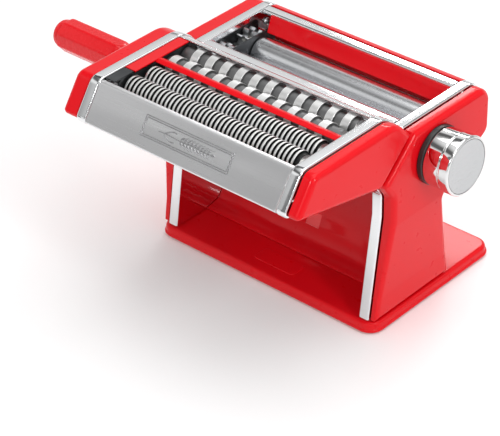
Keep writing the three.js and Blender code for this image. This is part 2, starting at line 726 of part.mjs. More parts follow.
function dialKnob() {
  const back = dialCollarEnd + 0.4;
  const flangeX = dialFaceX - 8;
  const body = latheX([
    [back, 8], [back, dialRearRadius - 0.6], [back + 0.6, dialRearRadius], [flangeX - 0.8, dialRearRadius],
    [flangeX, dialRadius], [dialFaceX - 0.8, dialRadius], [dialFaceX, dialRadius - 0.8],
    [dialFaceX, dialRadius - 2.1], [dialFaceX - 1.6, dialRadius - 2.1], [dialFaceX - 1.6, 8.6],
    [springSeat, 8.6], [springSeat, spindleRadius + 0.4], [springSeat - 2.8, spindleRadius + 0.4],
    [springSeat - 2.8, 8], [back, 8],
  ], 24);
  const indexPin = rodX(dialCollarEnd - 1.9, back + 0.5, indexPinRadius, 0, grooveRadius, 8);
  const pointerSlot = boxBetween(
    [flangeX - 5, -0.9, dialRearRadius - 0.8],
    [flangeX - 0.2, 0.9, dialRadius + 1],
  );
  return cut(join(body, indexPin), pointerSlot);
}
add(dial, 'dial_knob', dialKnob(), chrome);

add(dial, 'dial_face', latheX([
  [dialFaceX - 1.3, 0], [dialFaceX - 1.3, dialRadius - 2.4], [dialFaceX - 0.2, dialRadius - 2.4],
  [dialFaceX - 0.5, dialRadius * 0.6], [dialFaceX - 0.8, 0],
], 24), steel);

add(dial, 'dial_screw', latheX([
  [spindleEnd - 8, 0], [spindleEnd - 8, 1.6], [screwSeat, 1.6], [screwSeat, 7.6],
  [screwSeat + 1.8, 7], [screwSeat + 1.8, 0],
], 14), steel);

function coilSpring(from, to, coilRadius, wireRadius, turns) {
  class Helix extends THREE.Curve {
    getPoint(t, target = new THREE.Vector3()) {
      const angle = t * turns * 2 * Math.PI;
      return target.set(from + t * (to - from), coilRadius * Math.cos(angle), coilRadius * Math.sin(angle));
    }
  }
  const wire = new THREE.Shape();
  wire.absarc(0, 0, wireRadius, 0, 2 * Math.PI, false);
  return new THREE.ExtrudeGeometry(wire, {
    extrudePath: new Helix(), steps: turns * 9, curveSegments: 3, bevelEnabled: false,
  });
}
add(dial, 'dial_spring', coilSpring(springSeat + 1, screwSeat - 1, 6.2, 0.55, 3), steel);

// ---------------------------------------------------------------- assembly: cutter unit
const cutterUnit = new THREE.Group();
model.add(cutterUnit);

for (const [label, side] of sides) {
  const holes = side < 0
    ? cutterRollers.filter(([name]) => isDriven(name)).map(([, y]) => [y, cutterZ, socketRadius + 1.5])
    : [];
  add(cutterUnit, `cutter_frame_${label}`, cutterFrame(side), chrome);
  add(cutterUnit, `cutter_cover_${label}`,
    sideCover(side, cutterOutline, coverBosses.cutter, holes, false), paint);

  const bearing = prismX(roundedShape([
    [narrowFrontY - 11, cutterZ - 8.5, 3], [wideFrontY + cutterCentres + 8.4, cutterZ - 8.5, 3],
    [wideFrontY + cutterCentres + 8.4, cutterZ + 8, 3], [narrowFrontY - 11, cutterZ + 8, 3],
  ]), side * (webOuter + seatGap), side * (webOuter + 2.3));
  const bores = cutterRollers.map(([name, y]) => drillX(
    -frameOuter, frameOuter, journalRadius(name, side) + runGap, y, cutterZ));
  add(cutterUnit, `cutter_bearing_${label}`, cut(bearing, ...bores), whitePlastic);

  const slotHalf = hookRod.radius + 0.5;
  const hook = roundedShape([
    [hookRod.y - 22, hookRod.z - 1, 2],
    [hookRod.y - slotHalf - 4, hookRod.z - 5, 1],
    [hookRod.y - slotHalf, hookRod.z - 5, 1],
    [hookRod.y - slotHalf, hookRod.z + slotHalf, 2.5],
    [hookRod.y + slotHalf, hookRod.z + slotHalf, 2.5],
    [hookRod.y + slotHalf, hookRod.z - 3.5, 1],
    [hookRod.y + slotHalf + 4, hookRod.z - 3.5, 1],
    [hookRod.y + slotHalf + 4, hookRod.z + 4.5, 3],
    [hookRod.y - 5, hookRod.z + 8.5, 3],
    [hookRod.y - 22, hookRod.z + 8.5, 2],
  ]);
  add(cutterUnit, `hang_hook_${label}`, prismX(hook, side * (panelHalf - 2), side * panelHalf), steel);
}

// The front plate follows the frames' sloping front edge, set in by a hair.
const slopeRun = [cutterOutline[4][0] - cutterLowFront[0], cutterTop - cutterLowFront[1]];
const slopeLength = Math.hypot(...slopeRun);
const slopeAlong = slopeRun.map((part) => part / slopeLength);
const plateSetIn = 1.1;
const onSlope = (along, depth = plateSetIn) => [
  cutterLowFront[0] + slopeAlong[0] * along + slopeAlong[1] * depth,
  cutterLowFront[1] + slopeAlong[1] * along - slopeAlong[0] * depth,
];
const plateStart = 3.2;
const plateEnd = slopeLength - 1.4;
const plateTop = onSlope(plateEnd);
add(cutterUnit, 'front_plate', acrossX([
  onSlope(plateStart, 6), onSlope(plateStart), plateTop, [plateTop[0] + 3.2, plateTop[1] - 0.4],
], 1), steel);

const lipEnd = [narrowFrontY - 11.4, cutterZ + 5.4];
add(cutterUnit, 'feed_lip', acrossX([
  [plateTop[0] + 3.4, plateTop[1] - 1.9], lipEnd,
], 0.9, guardOuter), steel);

const cutterGearTip = cutterCentres / 2 + cutterGearReach;
const shelfZ = cutterZ + cutterGearTip + 0.3;

// The wall between the gears and the discs, with a shelf over the front gear.
function cutterGuard() {
  const outline = [
    [narrowFrontY - 11, cutterZ - 7.9, 2], [wideFrontY + cutterCentres + 10.6, cutterZ - 7.9, 2],
    [wideFrontY + cutterCentres + 10.6, shelfZ - 1, 7], [narrowFrontY - 11, shelfZ - 1, 2],
  ];
  const bores = cutterRollers.map(([, y]) => drillX(
    guardInner - 1, guardOuter + 1, cutterJournal + 2 * runGap, y, cutterZ));
  const wall = cut(prismX(roundedShape(outline), guardInner, guardOuter), ...bores);
  const shelfTop = shelfZ + guardThickness;
  const shelfRear = narrowFrontY + 3;
  const upright = boxBetween([guardInner, narrowFrontY - 9, shelfZ - 1.8], [guardOuter, shelfRear, shelfTop]);
  const shelf = boxBetween([-panelHalf, narrowFrontY - 14, shelfZ], [guardOuter, shelfRear, shelfTop]);
  return join(wall, upright, shelf);
}
add(cutterUnit, 'cutter_gear_guard', cutterGuard(), darkSteel);

// A red ridge between the two pairs; its wing covers the rest of the gear bay.
const ridgeY = (cutterCentreY.narrow_rear + cutterCentreY.wide_front) / 2;
function centreGuide() {
  const ridge = acrossX([
    [ridgeY - 3.2, shelfZ - 0.9], [ridgeY, cutterTop - 1.3], [ridgeY + 3.2, shelfZ - 0.9],
  ], 1, guardOuter + seatGap);
  const wing = boxBetween(
    [-panelHalf, narrowFrontY + 4, shelfZ],
    [guardOuter + seatGap + 0.5, cutterCentreY.wide_rear + 2, shelfZ + guardThickness],
  );
  return join(ridge, wing);
}
add(cutterUnit, 'centre_guide', centreGuide(), paint);

add(cutterUnit, 'cutter_rear_rail', acrossX([
  [-48.5, cutterTop - 1.2], [-43.2, cutterTop - 3], [-37.6, cutterTop - 7.5], [-34, cutterTop - 11.7],
], 1.2), chrome);

// A comb's teeth reach into a roller's grooves and lift the strands out.
function combTeeth(centreY, away, pitch, isSecond) {
  const { width, starts } = discLayout(pitch, isSecond);
  const combStart = rollerStart - 2;
  const points = [[combStart, 0], [panelHalf, 0], [panelHalf, 7]];
  for (const start of starts.slice(0, -1).reverse()) {
    const toothStart = start + width + 0.4;
    const toothEnd = start + pitch - 0.4;
    const taper = (toothEnd - toothStart) / 4;
    points.push([toothEnd, 7], [toothEnd - taper, 12], [toothStart + taper, 12], [toothStart, 7]);
  }
  points.push([combStart, 7]);
  const outline = new THREE.Shape(points.map(([u, v]) => new THREE.Vector2(u, v)));
  const comb = new THREE.ExtrudeGeometry(outline, { depth: 0.8, bevelEnabled: false });
  const tip = new THREE.Vector3(
    0, centreY + away * 0.611 * cutterRadius, cutterZ - 0.744 * cutterRadius);
  const rise = new THREE.Vector3(0, -away, 7).normalize();
  const along = new THREE.Vector3(1, 0, 0);
  const normal = along.clone().cross(rise);
  const foot = tip.clone().addScaledVector(rise, -12).addScaledVector(normal, -0.4);
  comb.applyMatrix4(new THREE.Matrix4().makeBasis(along, rise, normal).setPosition(foot));
  return comb;
}
add(cutterUnit, 'comb_front', combTeeth(cutterCentreY.narrow_front, -1, narrowPitch, false), steel);
add(cutterUnit, 'comb_middle', combTeeth(cutterCentreY.narrow_rear, 1, narrowPitch, true), steel);
add(cutterUnit, 'comb_wide_front', combTeeth(cutterCentreY.wide_front, -1, widePitch, false), steel);
add(cutterUnit, 'comb_rear', combTeeth(cutterCentreY.wide_rear, 1, widePitch, true), steel);

for (const [name, y] of cutterRollers) {
  const isNarrow = name.startsWith('narrow');
  const isSecond = name.endsWith('rear');
  const pitch = isNarrow ? narrowPitch : widePitch;
  const roller = cutterRoller(pitch, isSecond, isDriven(name), isNarrow, isNarrow ? 8 : 10);
  const firstTooth = isSecond ? Math.PI + halfTooth : 0;
  const gear = spurGear(cutterCentres, cutterGearReach, cutterJournal + seatGap, firstTooth);
  add(cutterUnit, `${name}_cutter`, roller, steel, y, cutterZ);
  add(cutterUnit, `${name}_gear`, gear, steel, y, cutterZ);
}

// ---------------------------------------------------------------- assembly: crank
const crank = new THREE.Group();
crank.position.set(0, narrowFrontY, cutterZ);
crank.rotation.x = crankAngle;
cutterUnit.add(crank);

// The rod runs out of the socket, bends into the arm and bends again into the grip's pin.
function crankRodBody() {
  const corner = (x, y) => new THREE.Vector3(x, y, 0);
  const path = new THREE.CurvePath();
  const tip = socketEnd + socketDepth - 1;
  const pinEnd = gripEnd + 4;
  const pinBend = crankBend - 4;
  const hubBend = [corner(armX + crankBend, 0), corner(armX, 0), corner(armX, crankBend)];
  const gripBend = [
    corner(armX, crankThrow - pinBend), corner(armX, crankThrow), corner(armX - pinBend, crankThrow),
  ];
  path.add(new THREE.LineCurve3(corner(tip, 0), hubBend[0]));
  path.add(new THREE.QuadraticBezierCurve3(...hubBend));
  path.add(new THREE.LineCurve3(hubBend[2], gripBend[0]));
  path.add(new THREE.QuadraticBezierCurve3(...gripBend));
  path.add(new THREE.LineCurve3(gripBend[2], corner(pinEnd, crankThrow)));
  const section = new THREE.Shape();
  section.absarc(0, 0, crankRod, 0, 2 * Math.PI, false);
  return new THREE.ExtrudeGeometry(section, {
    extrudePath: path, steps: 36, curveSegments: 4, bevelEnabled: false,
  });
}
add(crank, 'crank_rod', crankRodBody(), steel);

const gripBore = crankRod + 0.9;
add(crank, 'crank_grip', latheX([
  [gripStart, gripBore], [gripStart, gripNeck], [gripStart - 12, gripNeck + 0.6],
  [gripStart - 22, gripRadius - 2], [gripStart - 26, gripRadius], [gripEnd + 1.5, gripRadius],
  [gripEnd, gripRadius - 1.2], [gripEnd, gripBore], [gripStart, gripBore],
], 8), redPlastic, crankThrow);

add(crank, 'grip_end_cap', latheX([
  [gripEnd + 3.2, 0], [gripEnd + 3.2, crankRod], [gripEnd - seatGap, crankRod],
  [gripEnd - seatGap, gripRadius - 2], [gripEnd - capLength + 2, gripRadius - 2.6],
  [gripEnd - capLength, gripRadius - 5], [gripEnd - capLength, 0],
], 16), redPlastic, crankThrow);

export default model;
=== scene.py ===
import json
import math

import bmesh
import bpy
from mathutils import Matrix, Vector


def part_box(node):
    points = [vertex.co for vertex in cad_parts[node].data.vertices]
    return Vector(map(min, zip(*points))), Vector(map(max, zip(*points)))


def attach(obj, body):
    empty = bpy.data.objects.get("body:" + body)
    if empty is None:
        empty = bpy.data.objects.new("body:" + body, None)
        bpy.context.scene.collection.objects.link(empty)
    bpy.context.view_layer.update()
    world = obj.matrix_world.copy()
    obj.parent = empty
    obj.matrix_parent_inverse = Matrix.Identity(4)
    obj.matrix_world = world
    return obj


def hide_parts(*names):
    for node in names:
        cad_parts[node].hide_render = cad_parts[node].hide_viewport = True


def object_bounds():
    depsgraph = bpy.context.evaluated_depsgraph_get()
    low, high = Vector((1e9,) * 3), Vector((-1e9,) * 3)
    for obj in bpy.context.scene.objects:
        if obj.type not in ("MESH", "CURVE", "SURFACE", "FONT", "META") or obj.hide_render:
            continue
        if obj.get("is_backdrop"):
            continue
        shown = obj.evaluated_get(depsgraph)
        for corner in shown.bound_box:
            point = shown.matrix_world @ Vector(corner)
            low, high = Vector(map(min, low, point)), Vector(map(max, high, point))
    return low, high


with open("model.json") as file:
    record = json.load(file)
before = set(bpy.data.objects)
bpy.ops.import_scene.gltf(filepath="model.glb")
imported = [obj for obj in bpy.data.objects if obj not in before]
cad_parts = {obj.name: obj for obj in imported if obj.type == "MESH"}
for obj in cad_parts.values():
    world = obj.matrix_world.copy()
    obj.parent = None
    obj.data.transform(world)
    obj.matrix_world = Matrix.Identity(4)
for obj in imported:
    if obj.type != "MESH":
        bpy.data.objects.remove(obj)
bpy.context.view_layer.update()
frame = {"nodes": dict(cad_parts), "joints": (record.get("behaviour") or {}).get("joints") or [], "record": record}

# Lengths below are in millimetres, in the CAD's frame; MM turns them into Blender's metres.
MM = 0.001
nodes = frame["nodes"]
pivot = {j["name"]: Vector(j["pos_m"]) / MM for j in frame["joints"] if j.get("pos_m")}
body_of_node = {n: b for b, ns in frame["record"]["behaviour"]["bodies"].items() for n in ns}


def box_mm(node):
    low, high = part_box(node)
    return low / MM, high / MM


# ------------------------------------------------------------------ procedural materials
class Look:
    """A Principled material with small helpers for its texture nodes."""

    def __init__(self, name, color, metallic=0.0, roughness=0.5, **sockets):
        self.material = bpy.data.materials.new(name)
        self.material.use_nodes = True
        self.tree = self.material.node_tree
        self.shader = self.tree.nodes["Principled BSDF"]
        self.shader.inputs["Base Color"].default_value = (*color, 1)
        self.shader.inputs["Metallic"].default_value = metallic
        self.shader.inputs["Roughness"].default_value = roughness
        for key, value in sockets.items():
            self.shader.inputs[key.replace("_", " ")].default_value = value
        self.color = color
        self.coords = self.tree.nodes.new("ShaderNodeTexCoord")
        self.height = None

    def link(self, source, target):
        self.tree.links.new(source, target)

    def noise(self, scale, detail=3.0, roughness=0.5, distortion=0.0):
        """Noise over the object's own coordinates; scale is cells per metre along X, Y and Z."""
        mapping = self.tree.nodes.new("ShaderNodeMapping")
        mapping.inputs["Scale"].default_value = scale if hasattr(scale, "__len__") else (scale,) * 3
        self.link(self.coords.outputs["Object"], mapping.inputs["Vector"])
        texture = self.tree.nodes.new("ShaderNodeTexNoise")
        texture.inputs["Scale"].default_value = 1.0
        texture.inputs["Detail"].default_value = detail
        texture.inputs["Roughness"].default_value = roughness
        texture.inputs["Distortion"].default_value = distortion
        self.link(mapping.outputs["Vector"], texture.inputs["Vector"])
        return texture.outputs["Fac"]

    def spread(self, value, low, high, start=0.3, end=0.7):
        node = self.tree.nodes.new("ShaderNodeMapRange")
        for key, number in (("From Min", start), ("From Max", end), ("To Min", low), ("To Max", high)):
            node.inputs[key].default_value = number
        self.link(value, node.inputs["Value"])
        return node.outputs["Result"]

    def vary_rough(self, value, low, high, start=0.3, end=0.7):
        self.link(self.spread(value, low, high, start, end), self.shader.inputs["Roughness"])
        return self

    def vary_color(self, value, other, start=0.3, end=0.7):
        ramp = self.tree.nodes.new("ShaderNodeValToRGB")
        ramp.color_ramp.elements[0].position = start
        ramp.color_ramp.elements[0].color = (*self.color, 1)
        ramp.color_ramp.elements[1].position = end
        ramp.color_ramp.elements[1].color = (*other, 1)
        self.link(value, ramp.inputs["Fac"])
        self.link(ramp.outputs["Color"], self.shader.inputs["Base Color"])
        return self

    def bump(self, value, strength, distance_mm=0.1):
        node = self.tree.nodes.new("ShaderNodeBump")
        node.inputs["Strength"].default_value = strength
        node.inputs["Distance"].default_value = distance_mm * MM
        self.link(value, node.inputs["Height"])
        if self.height is not None:
            self.link(self.height, node.inputs["Normal"])
        self.height = node.outputs["Normal"]
        self.link(self.height, self.shader.inputs["Normal"])
        return self


def red_paint():
    look = Look("red_enamel", (0.76, 0.003, 0.009), 0.0, 0.3, Specular_IOR_Level=0.1, Coat_Weight=0.3,
                Coat_Roughness=0.07)
    look.vary_color(look.noise(9, 2), (0.71, 0.003, 0.008), 0.2, 0.8)
    look.vary_rough(look.noise(160, 3), 0.26, 0.33, 0.2, 0.8)
    return look.material


def chrome(name, tint, low, high):
    look = Look(name, tint, 1.0, low)
    look.vary_rough(look.noise(70, 6), low, high)
    look.vary_color(look.noise(18, 4), tuple(c * 0.93 for c in tint))
    look.bump(look.noise((900, 60, 900), 4), 0.03, 0.02)
    look.bump(look.noise(120, 2), 0.02, 0.05)
    return look.material


def brushed(name, tint, low, high, along, streak=0.12, anisotropic=0.5):
    """Steel brushed along an axis: streaks long that way and fine across it."""
    scale = tuple(9 if axis == along else 2600 for axis in "XYZ")
    look = Look(name, tint, 1.0, low, Anisotropic=anisotropic)
    fine = look.noise(scale, 5, 0.65)
    look.vary_rough(fine, low, high)
    look.vary_color(fine, tuple(c * (1 - streak) for c in tint))
    look.bump(fine, 0.12, 0.03)
    look.bump(look.noise(26, 3), 0.02, 0.2)
    return look.material


def turned(name, tint, low, high):
    """Metal turned on a lathe: fine rings round the X axis, with faint smears."""
    look = Look(name, tint, 1.0, low)
    rings = look.noise((5200, 12, 12), 4, 0.7)
    look.vary_rough(rings, low, high)
    look.vary_color(rings, tuple(c * 0.9 for c in tint))
    look.bump(rings, 0.10, 0.02)
    return look.material


def plastic(name, color, other, low, high, grain=0.05, **sockets):
    look = Look(name, color, 0.0, low, **sockets)
    look.vary_color(look.noise(45, 4), other)
    look.vary_rough(look.noise(320, 4), low, high)
    if grain:
        look.bump(look.noise(2400, 3), grain, 0.04)
    return look.material


def rubber():
    look = Look("pad_rubber", (0.018, 0.018, 0.019), 0.0, 0.8)
    wave = look.tree.nodes.new("ShaderNodeTexWave")
    wave.inputs["Scale"].default_value = 95
    wave.bands_direction = "X"
    look.link(look.coords.outputs["Object"], wave.inputs["Vector"])
    look.vary_rough(look.noise(300, 4), 0.7, 0.92)
    look.vary_color(look.noise(30, 3), (0.03, 0.03, 0.03))
    look.bump(wave.outputs["Fac"], 0.6, 0.4)
    look.bump(look.noise(1500, 2), 0.3, 0.1)
    return look.material


looks = {
    "red_paint": red_paint(),
    "chrome_trim": chrome("bright_chrome", (0.86, 0.87, 0.88), 0.05, 0.13),
    "knob_chrome": chrome("knob_chrome", (0.80, 0.80, 0.80), 0.03, 0.09),
    "roller_steel": turned("ground_roller_steel", (0.74, 0.75, 0.77), 0.16, 0.28),
    "cutter_alloy": turned("turned_cutter_alloy", (0.95, 0.95, 0.94), 0.3, 0.42),
    # Painted shade: the near-black (narrow) and dark grey (wide) groove colours stand in for the shade inside the
    # grooves between the cutter discs
    "narrow_gap_shade": turned("painted_shade_narrow_gaps", (0.05, 0.05, 0.05), 0.35, 0.5),
    "wide_gap_shade": turned("painted_shade_wide_gaps", (0.22, 0.22, 0.22), 0.35, 0.5),
    "badge_steel": brushed("badge_steel", (0.42, 0.42, 0.43), 0.22, 0.3, "X", 0.05, 0.3),
    "plain_steel": brushed("plain_steel", (0.60, 0.61, 0.62), 0.24, 0.4, "X", 0.15, 0.3),
    "plate_steel": brushed("satin_plate_steel", (0.80, 0.80, 0.81), 0.26, 0.36, "X", 0.05, 0.55),
    "lip_steel": brushed("warm_lip_steel", (0.66, 0.65, 0.58), 0.3, 0.42, "X", 0.08, 0.4),
    "face_steel": brushed("dial_face_steel", (0.56, 0.57, 0.58), 0.2, 0.3, "Y", 0.1, 0.3),
    "dark_steel": plastic("dark_burnished_steel", (0.055, 0.058, 0.062), (0.09, 0.095, 0.1), 0.28, 0.42,
                          0.03, Metallic=0.85),
    "black_plastic": plastic("black_moulding", (0.012, 0.012, 0.013), (0.02, 0.02, 0.02), 0.28, 0.42),
    "white_plastic": plastic("white_nylon", (0.72, 0.70, 0.64), (0.66, 0.63, 0.57), 0.4, 0.55),
    "red_plastic": plastic("red_grip_plastic", (0.78, 0.006, 0.012), (0.73, 0.005, 0.01), 0.24, 0.3, 0.0,
                           Specular_IOR_Level=0.22, Coat_Weight=0.3, Coat_Roughness=0.1),
    "rubber_pad": rubber(),
}


# ------------------------------------------------------------------ outlines
def arc_outline(corners, steps=9):
    """A closed (y, z) outline from corners (y, z, radius)."""
    points = []
    for i, (y, z, radius) in enumerate(corners):
        here = Vector((y, z))
        if radius <= 0:
            points.append(here)
            continue
        back = (Vector(corners[i - 1][:2]) - here).normalized()
        ahead = (Vector(corners[(i + 1) % len(corners)][:2]) - here).normalized()
        half = math.acos(max(-1.0, min(1.0, back.dot(ahead)))) / 2
        middle = here + (back + ahead).normalized() * (radius / math.sin(half))
        turn = -1 if back.cross(ahead) > 0 else 1
        spoke = math.atan2(here.y - middle.y, here.x - middle.x)
        for k in range(steps + 1):
            angle = spoke + turn * (math.pi - 2 * half) * (k / steps - 0.5)
            points.append(middle + radius * Vector((math.cos(angle), math.sin(angle))))
    return points


def inset(corners, distance):
    """Moves every side of an anticlockwise outline inwards."""
    moved = []
    for i, (y, z, radius) in enumerate(corners):
        here = Vector((y, z))
        arriving = (here - Vector(corners[i - 1][:2])).normalized()
        leaving = (Vector(corners[(i + 1) % len(corners)][:2]) - here).normalized()
        bisector = Vector((-arriving.y - leaving.y, arriving.x + leaving.x)).normalized()
        reach = distance / max(0.3, bisector.dot(Vector((-arriving.y, arriving.x))))
        rounding = max(0.3, radius - distance) if arriving.cross(leaving) > 0 else radius + distance
        moved.append((y + bisector.x * reach, z + bisector.y * reach, rounding if radius > 0 else 0))
    return moved


def fillet(line, radius, steps=4):
    """Rounds the inner corners of an open 2D or 3D line."""
    made = [Vector(line[0])]
    for before, here, after in zip(line, line[1:], line[2:]):
        here = Vector(here)
        back, ahead = Vector(before) - here, Vector(after) - here
        reach = min(radius, back.length * 0.45, ahead.length * 0.45)
        start, end = here + back.normalized() * reach, here + ahead.normalized() * reach
        for k in range(steps + 1):
            t = k / steps
            made.append(start * (1 - t) ** 2 + here * 2 * t * (1 - t) + end * t * t)
    made.append(Vector(line[-1]))
    return made


def strip_outline(line, thickness):
    """The closed outline of a bent sheet, from its centre line."""
    sides = []
    for sign in (-1, 1):
        side = []
        for i, here in enumerate(line):
            arriving = (here - line[max(0, i - 1)]) if i else (line[1] - here)
            leaving = (line[i + 1] - here) if i < len(line) - 1 else arriving
            arriving, leaving = arriving.normalized(), leaving.normalized()
            normal = Vector((-arriving.y - leaving.y, arriving.x + leaving.x)).normalized()
            reach = sign * thickness / 2 / max(0.5, normal.dot(Vector((-arriving.y, arriving.x))))
            side.append(here + normal * reach)
        sides.append(side)
    return sides[0] + sides[1][::-1]


# ------------------------------------------------------------------ mesh makers
def finish_mesh(bm, name, look, body, node_names, sharp=34, bevel=0.0, weighted=True):
    """Turns a bmesh in millimetres into a riding, smooth-shaded piece that replaces CAD nodes."""
    bmesh.ops.remove_doubles(bm, verts=bm.verts, dist=1e-4)
    bmesh.ops.recalc_face_normals(bm, faces=bm.faces)
    bmesh.ops.scale(bm, vec=(MM, MM, MM), verts=bm.verts)
    for face in bm.faces:
        face.smooth = True
    for edge in bm.edges:
        edge.smooth = edge.calc_face_angle(0) < math.radians(sharp)
    mesh = bpy.data.meshes.new(name)
    bm.to_mesh(mesh)
    bm.free()
    piece = bpy.data.objects.new(name, mesh)
    bpy.context.scene.collection.objects.link(piece)
    mesh.materials.append(looks[look])
    if bevel:
        modifier = piece.modifiers.new("edge_rounding", "BEVEL")
        modifier.width = bevel * MM
        modifier.segments = 2
        modifier.limit_method = "ANGLE"
        modifier.angle_limit = math.radians(sharp)
    if weighted:
        piece.modifiers.new("even_shading", "WEIGHTED_NORMAL").keep_sharp = not bevel
    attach(piece, body)
    if node_names:
        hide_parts(*node_names)
    return piece


def loft_into(bm, levels, closed=False):
    """Joins matching rings of 3D points; caps the two ends unless the rings close on themselves."""
    rings = [[bm.verts.new(p) for p in points] for points in levels]
    count = len(rings[0])
    pairs = list(zip(rings, rings[1:])) + ([(rings[-1], rings[0])] if closed else [])
    for low, high in pairs:
        for i in range(count):
            k = (i + 1) % count
            bm.faces.new((low[i], low[k], high[k], high[i]))
    if not closed:
        bm.faces.new(rings[0][::-1])
        bm.faces.new(rings[-1])


def side_ring(x, points):
    return [(x, p[0], p[1]) for p in points]


def lathe_into(bm, profile, y, z, segments, closed=False):
    """Turns (x, radius) points about the line through (y, z) along X."""
    rings = []
    for x, radius in profile:
        if radius <= 1e-6:
            rings.append([bm.verts.new((x, y, z))])
            continue
        angles = [2 * math.pi * k / segments for k in range(segments)]
        rings.append([bm.verts.new((x, y + radius * math.cos(a), z + radius * math.sin(a))) for a in angles])
    pairs = list(zip(rings, rings[1:])) + ([(rings[-1], rings[0])] if closed else [])
    for low, high in pairs:
        for i in range(segments):
            k = (i + 1) % segments
            corners = [low[i % len(low)], low[k % len(low)], high[k % len(high)], high[i % len(high)]]
            unique = list(dict.fromkeys(corners))
            if len(unique) > 2:
                bm.faces.new(unique)


def tube_into(bm, path, radius, sides=20):
    """A round bar along a line of points, with flat ends."""
    points = [Vector(p) for p in path]
    normal = Vector((0.3, 0.2, 1.0))
    rings = []
    for i, here in enumerate(points):
        ahead = (points[min(i + 1, len(points) - 1)] - points[max(i - 1, 0)]).normalized()
        normal = (normal - ahead * normal.dot(ahead)).normalized()
        other = ahead.cross(normal)
        angles = [2 * math.pi * k / sides for k in range(sides)]
        rings.append([here + radius * (normal * math.cos(a) + other * math.sin(a)) for a in angles])
    loft_into(bm, rings)


def box_into(bm, low, high):
    corners = [[(x, y, z) for x, y in ((low[0], low[1]), (high[0], low[1]), (high[0], high[1]),
                                       (low[0], high[1]))] for z in (low[2], high[2])]
    loft_into(bm, corners)


def carve(piece, cutter_bm):
    """Cuts a closed bmesh (in millimetres) out of a piece's mesh."""
    bmesh.ops.recalc_face_normals(cutter_bm, faces=cutter_bm.faces)
    bmesh.ops.scale(cutter_bm, vec=(MM, MM, MM), verts=cutter_bm.verts)
    mesh = bpy.data.meshes.new("cutter")
    cutter_bm.to_mesh(mesh)
    cutter_bm.free()
    cutter = bpy.data.objects.new("cutter", mesh)
    bpy.context.scene.collection.objects.link(cutter)
    kept = [(m, m.show_viewport) for m in piece.modifiers]
    for m, _ in kept:
        m.show_viewport = False
    boolean = piece.modifiers.new("cut", "BOOLEAN")
    boolean.operation, boolean.solver, boolean.object = "DIFFERENCE", "EXACT", cutter
    bpy.context.view_layer.update()
    evaluated = piece.evaluated_get(bpy.context.evaluated_depsgraph_get())
    made = bpy.data.meshes.new_from_object(evaluated)
    piece.modifiers.remove(boolean)
    old = piece.data
    piece.data = made
    bpy.data.meshes.remove(old)
    for m, shown in kept:
        m.show_viewport = shown
    bpy.data.objects.remove(cutter)
    bpy.data.meshes.remove(mesh)
    bm = bmesh.new()
    bm.from_mesh(piece.data)
    for face in bm.faces:
        face.smooth = True
    for edge in bm.edges:
        edge.smooth = edge.calc_face_angle(0) < math.radians(34)
    bm.to_mesh(piece.data)
    bm.free()
    return piece


def lathe_piece(name, profile, centre, look, segments=64, closed=False):
    """A turned piece about the X line through a centre, in place of the CAD node of its name."""
    bm = bmesh.new()
    lathe_into(bm, profile, centre[1], centre[2], segments, closed)
    return finish_mesh(bm, name, look, body_of_node[name], [name])


def sheet_piece(name, line, thickness, x_from, x_to, look, bend=1.4, steps=4, bevel=0.25):
    """A bent metal sheet that runs along X, with rounded bends."""
    outline = strip_outline(fillet([Vector(p) for p in line], bend, steps), thickness)
    bm = bmesh.new()
    loft_into(bm, [side_ring(x_from, outline), side_ring(x_to, outline)])
    return finish_mesh(bm, name, look, body_of_node[name], [name], 38, bevel)


# ------------------------------------------------------------------ sizes shared with the CAD
# Distances from the middle plane: the frame's inner face, its web and its rim, the cover's two
# faces, and the ends of the panels between the frames.
FRAME_IN, WEB_OUT, FRAME_OUT = 83.0, 84.6, 91.0
COVER_IN, COVER_OUT = 92.0, 101.0
PANEL = 82.7
# Heights: the fold in the leg covers, the top of the head, and the underside of the frames.
CREASE, HEAD_TOP, FOOT = 80.0, 141.6, 8.5
# The leg covers lean in from the crease to LEAN_END, where their outer face reaches FOOT_OUT.
LEAN_END, FOOT_OUT = 27, 97
CUTTER_TOP, CUTTER_Z = 157.3, pivot["narrow_front_turn"].z
SMOOTH_Z = pivot["smooth_rear_turn"].z
GUARD_OUT = -74.6
ROLLER_FROM, ROLLER_TO = -74.0, 76.0
ROLLER_LENGTH = ROLLER_TO - ROLLER_FROM
# The lower front and lower rear corners of the cutter unit, as (y, z).
FRONT_LOW, SADDLE, FRONT_TOP_Y = (-142.5, 130.5), (-58.5, 113.5), -123.2
CUTTER_OUTLINE = [(*FRONT_LOW, 4), (*SADDLE, 3), (-27.3, 141.2, 0.8), (-41.6, CUTTER_TOP, 22),
                  (FRONT_TOP_Y, CUTTER_TOP, 9)]
# The direction of the main unit's sloping shoulder, and its gap to the cutter unit resting on it.
SHOULDER = Vector((31.2, 27.7)).normalized()
SHOULDER_GAP = 0.6


def shoulder_at(along):
    return (SADDLE[0] + SHOULDER.x * along + SHOULDER.y * SHOULDER_GAP,
            SADDLE[1] + SHOULDER.y * along - SHOULDER.x * SHOULDER_GAP)


SHOULDER_TOP = shoulder_at((HEAD_TOP - shoulder_at(0)[1]) / SHOULDER.y)
MAIN_OUTLINE = [(-62, FOOT, 1), (18, FOOT, 1), (6.3, 77.8, 5), (53.8, 106.2, 10), (54.6, HEAD_TOP, 12),
                (*SHOULDER_TOP, 1), (*shoulder_at(1.5), 4), (-48, 101, 7), (-48.3, 84, 0)]


# ------------------------------------------------------------------ base
BASE_CORNER = 11
SEAT_WIDTH, SEAT_DEPTH, SEAT_CORNER, SEAT_Y, SEAT_HEIGHT = 36, 14, 3, -47, 0.5


def rounded_rectangle(width, depth, radius, z, shrink):
    u, v = width / 2 - shrink, depth / 2 - shrink
    r = max(0.6, radius - shrink)
    outline = arc_outline([(-u, -v, r), (u, -v, r), (u, v, r), (-u, v, r)], 10)
    return [(p.x, p.y, z) for p in outline]


